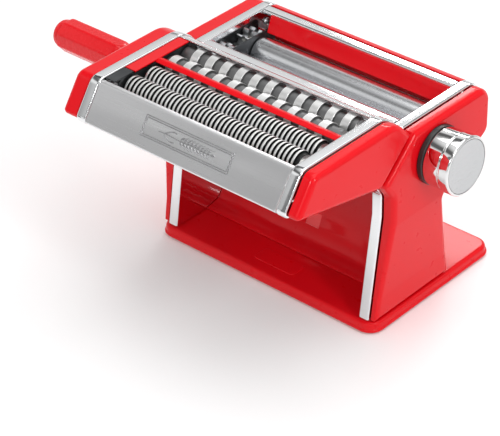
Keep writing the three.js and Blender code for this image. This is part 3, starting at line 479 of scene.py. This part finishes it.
def base_plate():
    low, high = box_mm("base_plate")
    width, depth = high.x - low.x, high.y - low.y
    top = high.z - SEAT_HEIGHT
    steps = [(2.9, top - 2.2), (2.3, low.z), (1.0, low.z), (0.3, low.z + 0.25), (0, low.z + 0.8),
             (0, low.z + 1.5), (0.25, low.z + 2.0), (0.7, low.z + 2.25), (0.95, low.z + 2.6),
             (1.0, top - 2.6), (1.25, top - 1.5), (1.85, top - 0.7), (2.8, top - 0.18), (3.8, top)]
    bm = bmesh.new()
    loft_into(bm, [rounded_rectangle(width, depth, BASE_CORNER, z, shrink) for shrink, z in steps])
    rings = []
    for shrink, z in ((0, top - 0.8), (0, top + 0.1), (0.12, top + 0.38), (0.45, top + SEAT_HEIGHT)):
        ring = rounded_rectangle(SEAT_WIDTH, SEAT_DEPTH, SEAT_CORNER, z, shrink)
        rings.append([(x, y + SEAT_Y, z) for x, y, z in ring])
    loft_into(bm, rings)
    return finish_mesh(bm, "base_plate", "red_paint", "main_unit", ["base_plate"], 50)


base_plate()


def anti_slip_pad():
    low, high = box_mm("anti_slip_pad")
    steps = [(0.9, low.z), (0.3, low.z + 0.3), (0, low.z + 0.9), (0, high.z - 0.6), (0.6, high.z)]
    bm = bmesh.new()
    width, depth = high.x - low.x, high.y - low.y
    loft_into(bm, [rounded_rectangle(width, depth, BASE_CORNER, z, shrink) for shrink, z in steps])
    finish_mesh(bm, "anti_slip_pad", "rubber_pad", "main_unit", ["anti_slip_pad"], 50)


anti_slip_pad()


def dough_slide():
    """The curved sheet under the rollers, made as a grid so that its clamp hole stays open."""
    start, middle, end = Vector((-19, 11.6)), Vector((-6, 22)), Vector((5, CREASE - 4))
    line = [Vector((-31, 9.1)), Vector((-25, 10.35))]
    line += [start * (1 - t) ** 2 + middle * 2 * t * (1 - t) + end * t * t for t in
             [0, 0.04, 0.08, 0.14, 0.2, 0.261, 0.32, 0.38, 0.437, 0.5, 0.57, 0.64, 0.72, 0.8, 0.88, 0.95]]
    line += fillet([line[-1], end, Vector((45, 99.5))], 5, 5)[1:]
    columns = [-PANEL, -40, -6, 6, 40, PANEL]
    bm = bmesh.new()
    grid = [[bm.verts.new((x, p.x, p.y)) for x in columns] for p in line]
    for i in range(len(line) - 1):
        height = (line[i].y + line[i + 1].y) / 2
        for k in range(len(columns) - 1):
            if not (columns[k] == -6 and 20 < height < 29.2):
                bm.faces.new((grid[i][k], grid[i][k + 1], grid[i + 1][k + 1], grid[i + 1][k]))
    piece = finish_mesh(bm, "dough_slide", "red_paint", "main_unit", ["dough_slide"], 30,
                        weighted=False)
    solid = piece.modifiers.new("thickness", "SOLIDIFY")
    solid.thickness, solid.offset = 1.2 * MM, 0
    edge = piece.modifiers.new("edge_rounding", "BEVEL")
    edge.width, edge.segments = 0.3 * MM, 2
    edge.limit_method, edge.angle_limit = "ANGLE", math.radians(50)


dough_slide()


# ------------------------------------------------------------------ side frames and covers
def disc_into(bm, x_from, x_to, radius, y, z, segments=32):
    lathe_into(bm, [(x_from, 0), (x_from, radius), (x_to, radius), (x_to, 0)], y, z, segments)


def side_frame(name, body, side, outline, holes, slot=None):
    levels = [(FRAME_IN, 0.9), (FRAME_IN + 0.15, 0.5), (FRAME_IN + 0.55, 0.2), (FRAME_IN + 1.3, 0),
              (FRAME_OUT - 1.3, 0), (FRAME_OUT - 0.55, 0.2), (FRAME_OUT - 0.15, 0.5), (FRAME_OUT, 0.9),
              (FRAME_OUT, 1.5), (FRAME_OUT - 0.3, 1.8), (WEB_OUT, 1.8)]
    bm = bmesh.new()
    loft_into(bm, [side_ring(side * x, arc_outline(inset(outline, d))) for x, d in levels])
    piece = finish_mesh(bm, name, "chrome_trim", body, [name], 60)
    tool = bmesh.new()
    for y, z, radius in holes:
        disc_into(tool, side * (FRAME_IN - 1), side * (WEB_OUT + 1), radius, y, z)
    carve(piece, tool)
    if slot:
        tool = bmesh.new()
        x_from, x_to = sorted((side * (FRAME_IN - 1), side * (WEB_OUT + 1)))
        loft_into(tool, [side_ring(x, arc_outline(slot)) for x in (x_from, x_to)])
        carve(piece, tool)
    return piece


def cover_levels(outline, outer):
    rim = inset(outline, 1.2)
    levels = [(COVER_IN, inset(rim, 0.35)), (COVER_IN + 0.35, rim)]
    for k in range(8):
        angle = k / 7 * math.pi / 2
        levels.append((outer - 4 * (1 - math.sin(angle)), inset(rim, 4 * (1 - math.cos(angle)))))
    return levels


def side_cover(name, body, side, outline, holes, leans_in):
    outer = -box_mm(name)[0].x if side < 0 else COVER_OUT
    bm = bmesh.new()
    loft_into(bm, [side_ring(x, arc_outline(points)) for x, points in cover_levels(outline, outer)])
    if leans_in:
        for z in (CREASE + 0.45, CREASE - 0.45, LEAN_END + 0.5, LEAN_END - 0.5):
            geometry = bm.verts[:] + bm.edges[:] + bm.faces[:]
            bmesh.ops.bisect_plane(bm, geom=geometry, plane_co=(0, 0, z), plane_no=(0, 0, 1), dist=1e-5)
        for vertex in bm.verts:
            share = (vertex.co.x - COVER_IN) / (outer - COVER_IN)
            drop = max(0.0, CREASE - max(vertex.co.z, LEAN_END)) / (CREASE - LEAN_END) * (outer - FOOT_OUT)
            drop += max(0.0, LEAN_END - vertex.co.z) / (LEAN_END - FOOT) * 0.5
            vertex.co.x -= share * drop
    if side < 0:
        bmesh.ops.scale(bm, vec=(-1, 1, 1), verts=bm.verts)
    piece = finish_mesh(bm, name, "red_paint", body, [name], 60)
    if holes:
        tool = bmesh.new()
        for y, z, radius in holes:
            disc_into(tool, side * (COVER_IN - 1), side * (outer + 1), radius, y, z)
        carve(piece, tool)
    return piece


SOCKET_R, SMOOTH_JOURNAL, CUTTER_JOURNAL = 6.5, 5.0, 3.5
# Holes in the main frames, as (y, z, radius).
HOOK_ROD_HOLE, TIE_ROD_HOLE = (-41, 118.5, 3.8), (46, 121, 3.3)
CRANK_OPENING = 8.0
BLOCK_HALF_HEIGHT = 5.6
rear_roller = pivot["smooth_rear_turn"]
front_roller = pivot["smooth_front_turn"]
cutter_names = ("narrow_front", "narrow_rear", "wide_front", "wide_rear")
cutters = {name: pivot[name + "_turn"] for name in cutter_names}
driven = ("narrow_front", "wide_front")

for label, side in (("left", -1), ("right", 1)):
    journal = SOCKET_R if side < 0 else SMOOTH_JOURNAL
    main_holes = [(rear_roller.y, SMOOTH_Z, journal + 2.6), HOOK_ROD_HOLE, TIE_ROD_HOLE]
    slot_low, slot_high = front_roller.y - BLOCK_HALF_HEIGHT, front_roller.y + 7.6
    under, over = SMOOTH_Z - BLOCK_HALF_HEIGHT, SMOOTH_Z + BLOCK_HALF_HEIGHT
    block_slot = [(slot_low, under, 2), (slot_high, under, 2), (slot_high, over, 2), (slot_low, over, 2)]
    side_frame("side_frame_" + label, "main_unit", side, MAIN_OUTLINE, main_holes, block_slot)
    holes = [(rear_roller.y, SMOOTH_Z, CRANK_OPENING)] if side < 0 else []
    side_cover("side_cover_" + label, "main_unit", side, MAIN_OUTLINE, holes, True)
    cutter_holes = [(p.y, p.z, (SOCKET_R if n in driven and side < 0 else CUTTER_JOURNAL) + 0.6)
                    for n, p in cutters.items()]
    side_frame("cutter_frame_" + label, "cutter_unit", side, CUTTER_OUTLINE, cutter_holes)
    holes = [(cutters[n].y, CUTTER_Z, CRANK_OPENING) for n in driven] if side < 0 else []
    side_cover("cutter_cover_" + label, "cutter_unit", side, CUTTER_OUTLINE, holes, False)

    bore = journal + 0.3
    profile = [(81.5, bore + 0.3), (81.5, bore + 1.6), (81.8, bore + 2), (84.9, bore + 2),
               (84.9, bore + 4.5), (86.9, bore + 4.5), (86.9, bore), (81.8, bore)]
    lathe_piece("roller_bush_" + label, [(side * x, r) for x, r in profile], rear_roller, "white_plastic",
                48, True)

    low, high = box_mm("cover_screw_" + label)
    screw_y, screw_z = (low.y + high.y) / 2, (low.z + high.z) / 2
    head = [(80.7, 0), (80.7, 1.5), (80.9, 2.2), (81.4, 2.75), (82.4, 3), (82.7, 3), (82.7, 1.3),
            (93, 1.3), (93, 0)]
    bm = bmesh.new()
    lathe_into(bm, [(side * x, r) for x, r in head], screw_y, screw_z, 32)
    screw = finish_mesh(bm, "cover_screw_" + label, "plain_steel", "main_unit", ["cover_screw_" + label])
    x0, x1 = sorted((side * 80.0, side * 81.6))
    for wide, tall in ((0.45, 2.0), (2.0, 0.45)):
        cross = bmesh.new()
        box_into(cross, (x0, screw_y - wide, screw_z - tall), (x1, screw_y + wide, screw_z + tall))
        carve(screw, cross)

# ------------------------------------------------------------------ bars, panels and rods
BAR_Z = HEAD_TOP - 0.6
SHEET = 1.2
sheet_piece("rear_bar", [(35, BAR_Z - 2.6), (35, BAR_Z), (41.8, BAR_Z), (41.8, BAR_Z - 2.6)], SHEET,
            -PANEL, PANEL, "chrome_trim", 1.2)
sheet_piece("front_bar", [(-29.7, BAR_Z - 2.6), (-29.7, BAR_Z), (-19.7, BAR_Z), (-16.1, BAR_Z - 8)], SHEET,
            -PANEL, PANEL, "chrome_trim", 1.6)
sheet_piece("hopper_rear", [(33.6, 140.4), (33.2, 139.4), (29.3, 129.8), (28.9, 128.8)], SHEET,
            ROLLER_FROM, PANEL, "red_paint")
sheet_piece("rear_panel", [(44, 140.4), (49.6, 139), (52.3, 133), (52.2, 112), (49.8, 106.6)], SHEET,
            -PANEL, PANEL, "red_paint", 3.0, 6)
for name, centre_y, away in (("scraper_front", front_roller.y, -1), ("scraper_rear", rear_roller.y, 1)):
    blade = [(centre_y + away * 15, SMOOTH_Z - 19), (centre_y + away * 6, SMOOTH_Z - 13.4)]
    sheet_piece(name, blade, 0.9, ROLLER_FROM + 0.5, PANEL, "plain_steel", bevel=0.15)
for name in ("hook_rod", "rear_tie_rod"):
    low, high = box_mm(name)
    radius = (high.z - low.z) / 2
    rod = [(low.x, 0), (low.x, radius - 0.5), (low.x + 0.5, radius), (high.x - 0.5, radius),
           (high.x, radius - 0.5), (high.x, 0)]
    lathe_piece(name, rod, (low + high) / 2, "plain_steel", 40)

# ------------------------------------------------------------------ rollers
JOURNAL_END = 89.5
GEAR_FROM = -81.4
SMOOTH_R, CUTTER_R, CUTTER_CORE = 12.5, 9.0, 7.4


def shaft(body_profile, journal, socketed):
    """Adds the journals to a roller's profile, and the crank's socket at the left where it has one."""
    if socketed:
        left = [(-84, 0), (-84, 4.4), (-95.4, 4.4), (-96, 4.9), (-96, SOCKET_R - 0.5), (-95.5, SOCKET_R),
                (GEAR_FROM - 0.5, SOCKET_R), (GEAR_FROM - 0.5, journal)]
    else:
        left = [(-JOURNAL_END, 0), (-JOURNAL_END, journal - 0.4), (-JOURNAL_END + 0.4, journal)]
    right = [(ROLLER_TO, journal), (JOURNAL_END - 0.4, journal), (JOURNAL_END, journal - 0.4),
             (JOURNAL_END, 0)]
    return left + [(ROLLER_FROM, journal)] + body_profile + right


for name, centre, socketed in (("smooth_roller_rear", rear_roller, True),
                               ("smooth_roller_front", front_roller, False)):
    body_profile = [(ROLLER_FROM, 11.7), (ROLLER_FROM + 0.25, 12.2), (ROLLER_FROM + 0.8, SMOOTH_R),
                    (ROLLER_TO - 0.8, SMOOTH_R), (ROLLER_TO - 0.25, 12.2), (ROLLER_TO, 11.7)]
    profile = shaft(body_profile, SMOOTH_JOURNAL, socketed)
    lathe_piece(name, profile, centre, "roller_steel", 96)


def discs(pitch, second):
    """Square-shouldered discs with small chamfers, at the places where the CAD has them."""
    width = pitch / 2 - 0.2
    count = int((ROLLER_LENGTH / pitch) - 0.5)
    margin = (ROLLER_LENGTH - (count - 0.5) * pitch - width) / 2
    first = ROLLER_FROM + margin + (pitch / 2 if second else 0)
    profile = [(ROLLER_FROM, CUTTER_CORE - 0.4), (ROLLER_FROM + 0.4, CUTTER_CORE)]
    for i in range(count):
        start = first + i * pitch
        end = start + width
        profile += [(start, CUTTER_CORE), (start, CUTTER_R - 0.12), (start + 0.12, CUTTER_R),
                    (end - 0.12, CUTTER_R), (end, CUTTER_R - 0.12), (end, CUTTER_CORE)]
    return profile + [(ROLLER_TO - 0.4, CUTTER_CORE), (ROLLER_TO, CUTTER_CORE - 0.4)]


NARROW_PITCH, WIDE_PITCH = 3.6, 13.0
for name, centre in cutters.items():
    narrow = name.startswith("narrow")
    pitch = NARROW_PITCH if narrow else WIDE_PITCH
    profile = shaft(discs(pitch, name.endswith("rear")), CUTTER_JOURNAL, name in driven)
    cutter = lathe_piece(name + "_cutter", profile, centre, "cutter_alloy", 56)
    # Faces at the bottom of the grooves between the discs get the dark painted-shade colour
    cutter.data.materials.append(looks["narrow_gap_shade" if narrow else "wide_gap_shade"])
    for face in cutter.data.polygons:
        reach = math.hypot(face.center.y - centre.y * MM, face.center.z - centre.z * MM) / MM
        if ROLLER_FROM * MM < face.center.x < ROLLER_TO * MM and reach < CUTTER_R - 0.35:
            face.material_index = 1

# ------------------------------------------------------------------ front plate with its badge
LOW_FRONT, TOP_FRONT = Vector(FRONT_LOW), Vector((FRONT_TOP_Y, CUTTER_TOP))
SLOPE = (TOP_FRONT - LOW_FRONT).normalized()
OUTWARD = Vector((-SLOPE.y, SLOPE.x))
SLOPE_LENGTH = (TOP_FRONT - LOW_FRONT).length


def on_slope(along, depth=1.1):
    return LOW_FRONT + SLOPE * along - OUTWARD * depth


def badge_point(x, along, lift):
    p = on_slope(along, 0.6 - lift)
    return Vector((x, p.x, p.y))


def ridge_into(bm, path, width, height, closed):
    """A raised line of half-round section on the front plate; path holds (x, along) points."""
    count = len(path)
    rings = []
    for i, here in enumerate(path):
        before = path[i - 1] if i or closed else here
        after = path[(i + 1) % count] if i < count - 1 or closed else here
        ahead = (Vector(after) - Vector(before)).normalized()
        across = Vector((-ahead.y, ahead.x))
        mitre = 1.0
        if closed:
            arriving = (Vector(here) - Vector(before)).normalized()
            mitre = 1 / max(0.5, across.dot(Vector((-arriving.y, arriving.x))))
        ring = []
        for share, lift in ((-1, -0.25), (-1, 0), (-0.6, 0.75), (0, 1), (0.6, 0.75), (1, 0), (1, -0.25)):
            q = Vector(here) + across * share * width / 2 * mitre
            ring.append(badge_point(q.x, q.y, max(-0.25, lift * height)))
        rings.append(ring)
    loft_into(bm, rings, closed)


def grain_into(bm, x, along, angle, length, width, height):
    """A wheat grain: a pointed, half-sunk ellipsoid."""
    direction = Vector((math.cos(angle), math.sin(angle)))
    across = Vector((-direction.y, direction.x))
    rings = []
    for k in range(1, 8):
        t = k / 8
        swell = math.sin(math.pi * t) ** 0.75
        ring = []
        for j in range(8):
            a = 2 * math.pi * j / 8
            q = Vector((x, along)) + direction * (t * length) + across * (math.cos(a) * width / 2 * swell)
            ring.append(badge_point(q.x, q.y, math.sin(a) * height * swell - 0.02))
        rings.append(ring)
    loft_into(bm, rings)


def front_plate():
    top = on_slope(SLOPE_LENGTH - 1.4)
    line = [on_slope(3.2, 6), on_slope(3.2), top, top + Vector((3.2, -0.4))]
    outline = strip_outline(fillet(line, 1.0, 5), 1.0)
    bm = bmesh.new()
    loft_into(bm, [side_ring(-PANEL, outline), side_ring(PANEL, outline)])
    finish_mesh(bm, "front_plate", "plate_steel", "cutter_unit", ["front_plate"], 34, 0.35)
    bm = bmesh.new()
    low, high = 11.4, 25.0
    left, right = -36.6, 39.0
    for margin in (0.0, 1.35):
        corners = [(left + margin, low + margin, 0.5), (right - margin, low + margin, 0.5),
                   (right - margin, high - margin, 0.5), (left + margin, high - margin, 0.5)]
        ridge_into(bm, arc_outline(corners, 4), 0.75, 0.42, True)
    middle = (low + high) / 2
    ridge_into(bm, [(-23 + 2.3 * k, middle + 0.25 * math.sin(k * 0.6)) for k in range(21)], 0.7, 0.4, False)
    for k in range(9):
        x = -4.5 + 2.9 * k
        size = 1.0 - 0.035 * k
        for sign in (-1, 1):
            grain_into(bm, x, middle + sign * 0.35, sign * 0.62, 4.6 * size, 2.0 * size, 0.6)
            tip = Vector((x + 3.3 * size, middle + sign * (0.35 + 2.3 * size)))
            beard = [tip, tip + Vector((1.6, sign * 0.75)), tip + Vector((3.4, sign * 1.1))]
            ridge_into(bm, beard, 0.35, 0.25, False)
    grain_into(bm, 21.6, middle, 0.0, 4.6, 1.9, 0.6)
    for sign in (-1, 1):
        leaf = [(-18 + 1.6 * k, middle + sign * (0.4 + 2.9 * math.sin(k / 6 * math.pi * 0.62)))
                for k in range(7)]
        ridge_into(bm, leaf, 0.9, 0.35, False)
    finish_mesh(bm, "front_badge", "badge_steel", "cutter_unit", [], 50, weighted=False)


front_plate()

# ------------------------------------------------------------------ cutter unit's sheets
plate_top = on_slope(SLOPE_LENGTH - 1.4)
sheet_piece("feed_lip", [plate_top + Vector((3.4, -1.9)), (-115.4, 150.9)], 0.9, GUARD_OUT, PANEL,
            "lip_steel", bevel=0.2)
sheet_piece("cutter_rear_rail", [(-48.5, 156.1), (-43.2, 154.3), (-37.6, 149.8), (-34, 145.6)], SHEET,
            -PANEL, PANEL, "chrome_trim", 3.0, 8)


def centre_guide():
    ridge = [(-80.8, 154.4), (-77.6, 156.0), (-74.4, 154.4)]
    outline = strip_outline(fillet([Vector(p) for p in ridge], 1.2, 6), 1.0)
    bm = bmesh.new()
    loft_into(bm, [side_ring(GUARD_OUT + 0.3, outline), side_ring(PANEL, outline)])
    box_into(bm, (-PANEL, -100, 155.3), (GUARD_OUT + 0.8, -49.2, 156.3))
    finish_mesh(bm, "centre_guide", "red_paint", "cutter_unit", ["centre_guide"], 34, 0.22)


centre_guide()

# ------------------------------------------------------------------ dial
dial = pivot["dial_turn"]
collar = [(101.3, 5.2), (101.3, 20.2), (101.7, 20.6), (104.0, 20.6), (104.8, 20.4), (105.2, 19.9),
          (105.2, 15.8), (102.8, 15.7), (102.8, 12.3), (105.2, 12.3), (105.2, 5.2)]
lathe_piece("dial_collar", collar, dial, "black_plastic", 96, True)


def dial_knob():
    back = 105.6
    profile = [(back, 8), (back, 19.4), (back + 0.25, 19.9), (back + 0.8, 20.2), (116.6, 20.2), (117.1, 20.0),
               (117.3, 19.5), (117.7, 19.3), (118.1, 19.5), (118.25, 20.3), (118.7, 20.8), (119.3, 20.9),
               (124.6, 20.9), (125.4, 20.7), (125.85, 20.3), (126.0, 19.9), (126.0, 19.5), (125.9, 19.1),
               (124.4, 18.8), (124.4, 8.6), (112.4, 8.6), (112.4, 4.4), (109.6, 4.4), (109.6, 8)]
    bm = bmesh.new()
    lathe_into(bm, profile, dial.y, dial.z, 128, True)
    disc_into(bm, 103.3, back + 0.1, 1.25, dial.y, dial.z + 14, 16)
    knob = finish_mesh(bm, "dial_knob", "knob_chrome", "knob", ["dial_knob"], 34)
    tool = bmesh.new()
    box_into(tool, (113.2, dial.y - 1.0, dial.z + 19.4), (117.9, dial.y + 1.0, dial.z + 23))
    return carve(knob, tool)


dial_knob()
face = [(124.7, 0), (124.7, 18.5), (125.3, 18.75), (125.8, 18.7), (125.9, 18.4)]
face += [(125.86 - 1.0 * (1 - (r / 18) ** 2), r) for r in (17.4, 16, 14, 11, 8, 5, 2.5)] + [(124.83, 0)]
lathe_piece("dial_face", face, dial, "face_steel", 96)

# ------------------------------------------------------------------ crank
hub = cutters["narrow_front"]
grip_axis = pivot["grip_spin"]
arm_direction = Vector((0, grip_axis.y - hub.y, grip_axis.z - hub.z))
THROW = arm_direction.length
arm_direction.normalize()
ARM_X = box_mm("cutter_cover_left")[0].x - 8


def crank_point(x, out):
    return Vector((x, hub.y, hub.z)) + arm_direction * out


def crank_rod():
    hub_bend = [crank_point(ARM_X + 10, 0), crank_point(ARM_X, 0), crank_point(ARM_X, 10)]
    grip_bend = [crank_point(ARM_X, THROW - 6), crank_point(ARM_X, THROW), crank_point(ARM_X - 6, THROW)]
    path = [crank_point(-85, 0), crank_point(-85.6, 0)]
    for bend in (hub_bend, grip_bend):
        for k in range(11):
            t = k / 10
            path.append(bend[0] * (1 - t) ** 2 + bend[1] * 2 * t * (1 - t) + bend[2] * t * t)
    path += [crank_point(-202.4, THROW), crank_point(-203, THROW)]
    bm = bmesh.new()
    tube_into(bm, path, 4.0, 28)
    finish_mesh(bm, "crank_rod", "plain_steel", "crank", ["crank_rod"], 40, 0.3)


crank_rod()


def grip_radius(angle, radius, facet):
    """A circle at facet 0, and a slightly rounded octagon at 1."""
    step = math.pi / 4
    offset = (angle + step / 2) % step - step / 2
    flat = radius * math.cos(step / 2) / math.cos(step / 2 - abs(offset))
    widest = radius * 0.985
    return widest * (1 - facet) + min(flat, widest) * facet


def crank_grip():
    """A neck that swells into an eight-sided handle, with a bore through it for the rod."""
    rings = [(-127.0, 6.6, 0), (-127.2, 7.2, 0), (-127.8, 7.6, 0), (-133, 7.8, 0), (-138, 8.2, 0),
             (-142, 9.0, 0), (-146, 10.2, 0), (-149, 11.2, 0.1), (-151.5, 12.0, 0.55), (-153.5, 12.5, 1),
             (-180, 12.5, 1), (-204.6, 12.5, 1), (-206.2, 12.2, 1), (-206.9, 11.5, 1)]
    bore = 4.9
    turn = math.atan2(arm_direction.z, arm_direction.y)
    angles = [2 * math.pi * k / 96 for k in range(96)]

    def ring(x, radii):
        return [(x, grip_axis.y + r * math.cos(a + turn), grip_axis.z + r * math.sin(a + turn))
                for a, r in zip(angles, radii)]

    levels = [ring(x, [grip_radius(a, radius, facet) for a in angles]) for x, radius, facet in rings]
    levels += [ring(x, [bore] * len(angles)) for x in (rings[-1][0], rings[0][0])]
    bm = bmesh.new()
    loft_into(bm, levels, True)
    finish_mesh(bm, "crank_grip", "red_plastic", "grip", ["crank_grip"], 24)


crank_grip()
cap = [(-203.8, 0), (-203.8, 4.0), (-207.3, 4.0), (-207.3, 9.9), (-207.7, 10.3), (-209.6, 10.35),
       (-211.2, 9.9), (-212.6, 8.8), (-213.5, 7.0), (-213.9, 4.5), (-214.0, 0)]
lathe_piece("grip_end_cap", cap, grip_axis, "red_plastic", 64)

# ------------------------------------------------------------------ CAD nodes that stay as they are
KEPT = {
    "dark_steel": ["roller_gear_guard", "cutter_gear_guard"],
    "white_plastic": ["slide_block_left", "slide_block_right", "cutter_bearing_left", "cutter_bearing_right"],
    "plain_steel": ["roller_gear_rear", "roller_gear_front", "dial_spindle", "dial_screw", "dial_spring",
                    "hang_hook_left", "hang_hook_right", "comb_front", "comb_middle", "comb_wide_front",
                    "comb_rear", "narrow_front_gear", "narrow_rear_gear", "wide_front_gear",
                    "wide_rear_gear"],
}
for look, names in KEPT.items():
    for name in names:
        node = nodes[name]
        node.data.materials.clear()
        node.data.materials.append(looks[look])
        rounding = node.modifiers.new("edge_rounding", "BEVEL")
        rounding.width, rounding.segments = 0.12 * MM, 2
        rounding.limit_method, rounding.angle_limit = "ANGLE", math.radians(40)


# ------------------------------------------------------------------ floor, light and camera
def plane(name, size, location, rotation, material):
    bm = bmesh.new()
    u, v = size[0] / 2, size[1] / 2
    bm.faces.new([bm.verts.new(p) for p in ((-u, -v, 0), (u, -v, 0), (u, v, 0), (-u, v, 0))])
    mesh = bpy.data.meshes.new(name)
    bm.to_mesh(mesh)
    bm.free()
    made = bpy.data.objects.new(name, mesh)
    made.location, made.rotation_euler = location, rotation
    mesh.materials.append(material)
    bpy.context.scene.collection.objects.link(made)
    made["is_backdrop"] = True
    return made


floor_look = Look("pale_floor", (0.93, 0.93, 0.93), 0.0, 0.55)
floor_look.vary_color(floor_look.noise(3, 2), (0.91, 0.91, 0.91))
floor_look.shader.inputs["Emission Color"].default_value = (1, 1, 1, 1)
floor_look.shader.inputs["Emission Strength"].default_value = 0.07
plane("floor", (12, 12), (0, 0, -0.0004), (0, 0, 0), floor_look.material)


def aimed(location, target):
    return (Vector(target) - Vector(location)).to_track_quat("-Z", "Y").to_euler()


def area(name, location, target, size, energy):
    light = bpy.data.lights.new(name, "AREA")
    light.shape, light.size, light.size_y = "RECTANGLE", size[0], size[1]
    light.energy = energy
    made = bpy.data.objects.new(name, light)
    made.location, made.rotation_euler = location, aimed(location, target)
    bpy.context.scene.collection.objects.link(made)
    return made


MIDDLE = (0, -0.03, 0.1)
area("overhead", (0.1, 0.2, 1.15), MIDDLE, (1.2, 0.9), 5.5)
area("right_key", (1.0, -0.25, 0.8), MIDDLE, (0.16, 0.5), 3.4)
area("front_key", (0.25, -1.2, 0.9), MIDDLE, (0.3, 0.14), 2.2)
area("back_key", (-0.5, 1.0, 0.75), MIDDLE, (0.5, 0.12), 2.0)


def card(name, size, location, shade):
    """A grey or dark board that only shows in reflections."""
    board = plane(name, size, location, aimed(location, MIDDLE), shade)
    board.visible_camera = board.visible_diffuse = board.visible_shadow = False
    return board


grey_board = Look("grey_board", (0.2, 0.2, 0.2), 0.0, 0.9).material
card("card_plate", (0.5, 0.9), (-0.33, -1.08, 0.6), grey_board)
dark_board = Look("dark_board", (0.02, 0.015, 0.012), 0.0, 0.9).material
card("card_knob_high", (0.12, 0.5), (-0.75, 0.1, 0.9), dark_board)
card("card_knob_low", (0.16, 0.4), (-0.7, -0.75, 0.05), dark_board)
card("card_floor_right", (0.25, 0.22), (0.42, 0.32, 0.02), dark_board)

# The sky has soft bands by height, so that rounded metal shows light and dark lines.
world = bpy.data.worlds.new("studio")
world.use_nodes = True
sky = world.node_tree
direction = sky.nodes.new("ShaderNodeTexCoord")
split = sky.nodes.new("ShaderNodeSeparateXYZ")
bands = sky.nodes.new("ShaderNodeValToRGB")
sky.links.new(direction.outputs["Generated"], split.inputs["Vector"])
sky.links.new(split.outputs["Z"], bands.inputs["Fac"])
sky.links.new(bands.outputs["Color"], sky.nodes["Background"].inputs["Color"])
sky.nodes["Background"].inputs["Strength"].default_value = 0.95
ramp = bands.color_ramp
levels = [(0.0, 0.8), (0.10, 1.0), (0.2, 0.95), (0.27, 0.25), (0.33, 0.30), (0.40, 0.62),
          (0.48, 0.8), (0.56, 1.0), (0.66, 0.95), (0.72, 0.12), (0.79, 0.15), (0.86, 1.0), (1.0, 1.0)]
for place, shade in levels:
    element = ramp.elements.new(place) if 0 < place < 1 else ramp.elements[int(place)]
    element.color = (shade, shade, shade, 1)
bpy.context.scene.world = world

AZIMUTH, ELEVATION, ROLL = (math.radians(a) for a in (43.356, 33.907, -2.229))
level = Vector((math.cos(AZIMUTH), math.sin(AZIMUTH), 0))
behind = Vector((math.sin(AZIMUTH) * math.cos(ELEVATION), -math.cos(AZIMUTH) * math.cos(ELEVATION),
                 math.sin(ELEVATION)))
upward = behind.cross(level)
right_way = level * math.cos(ROLL) + upward * math.sin(ROLL)
up_way = upward * math.cos(ROLL) - level * math.sin(ROLL)
camera = bpy.data.objects.new("camera", bpy.data.cameras.new("camera"))
camera.data.sensor_width = 36
camera.data.lens = 160.05
camera.data.clip_start, camera.data.clip_end = 0.05, 30
camera.matrix_world = Matrix.Translation((0.8434, -0.9678, 0.8845)) @ Matrix(
    (right_way, up_way, behind)).transposed().to_4x4()
bpy.context.scene.collection.objects.link(camera)
bpy.context.scene.camera = camera
bpy.context.scene.view_settings.view_transform = "Standard"

low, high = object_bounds()
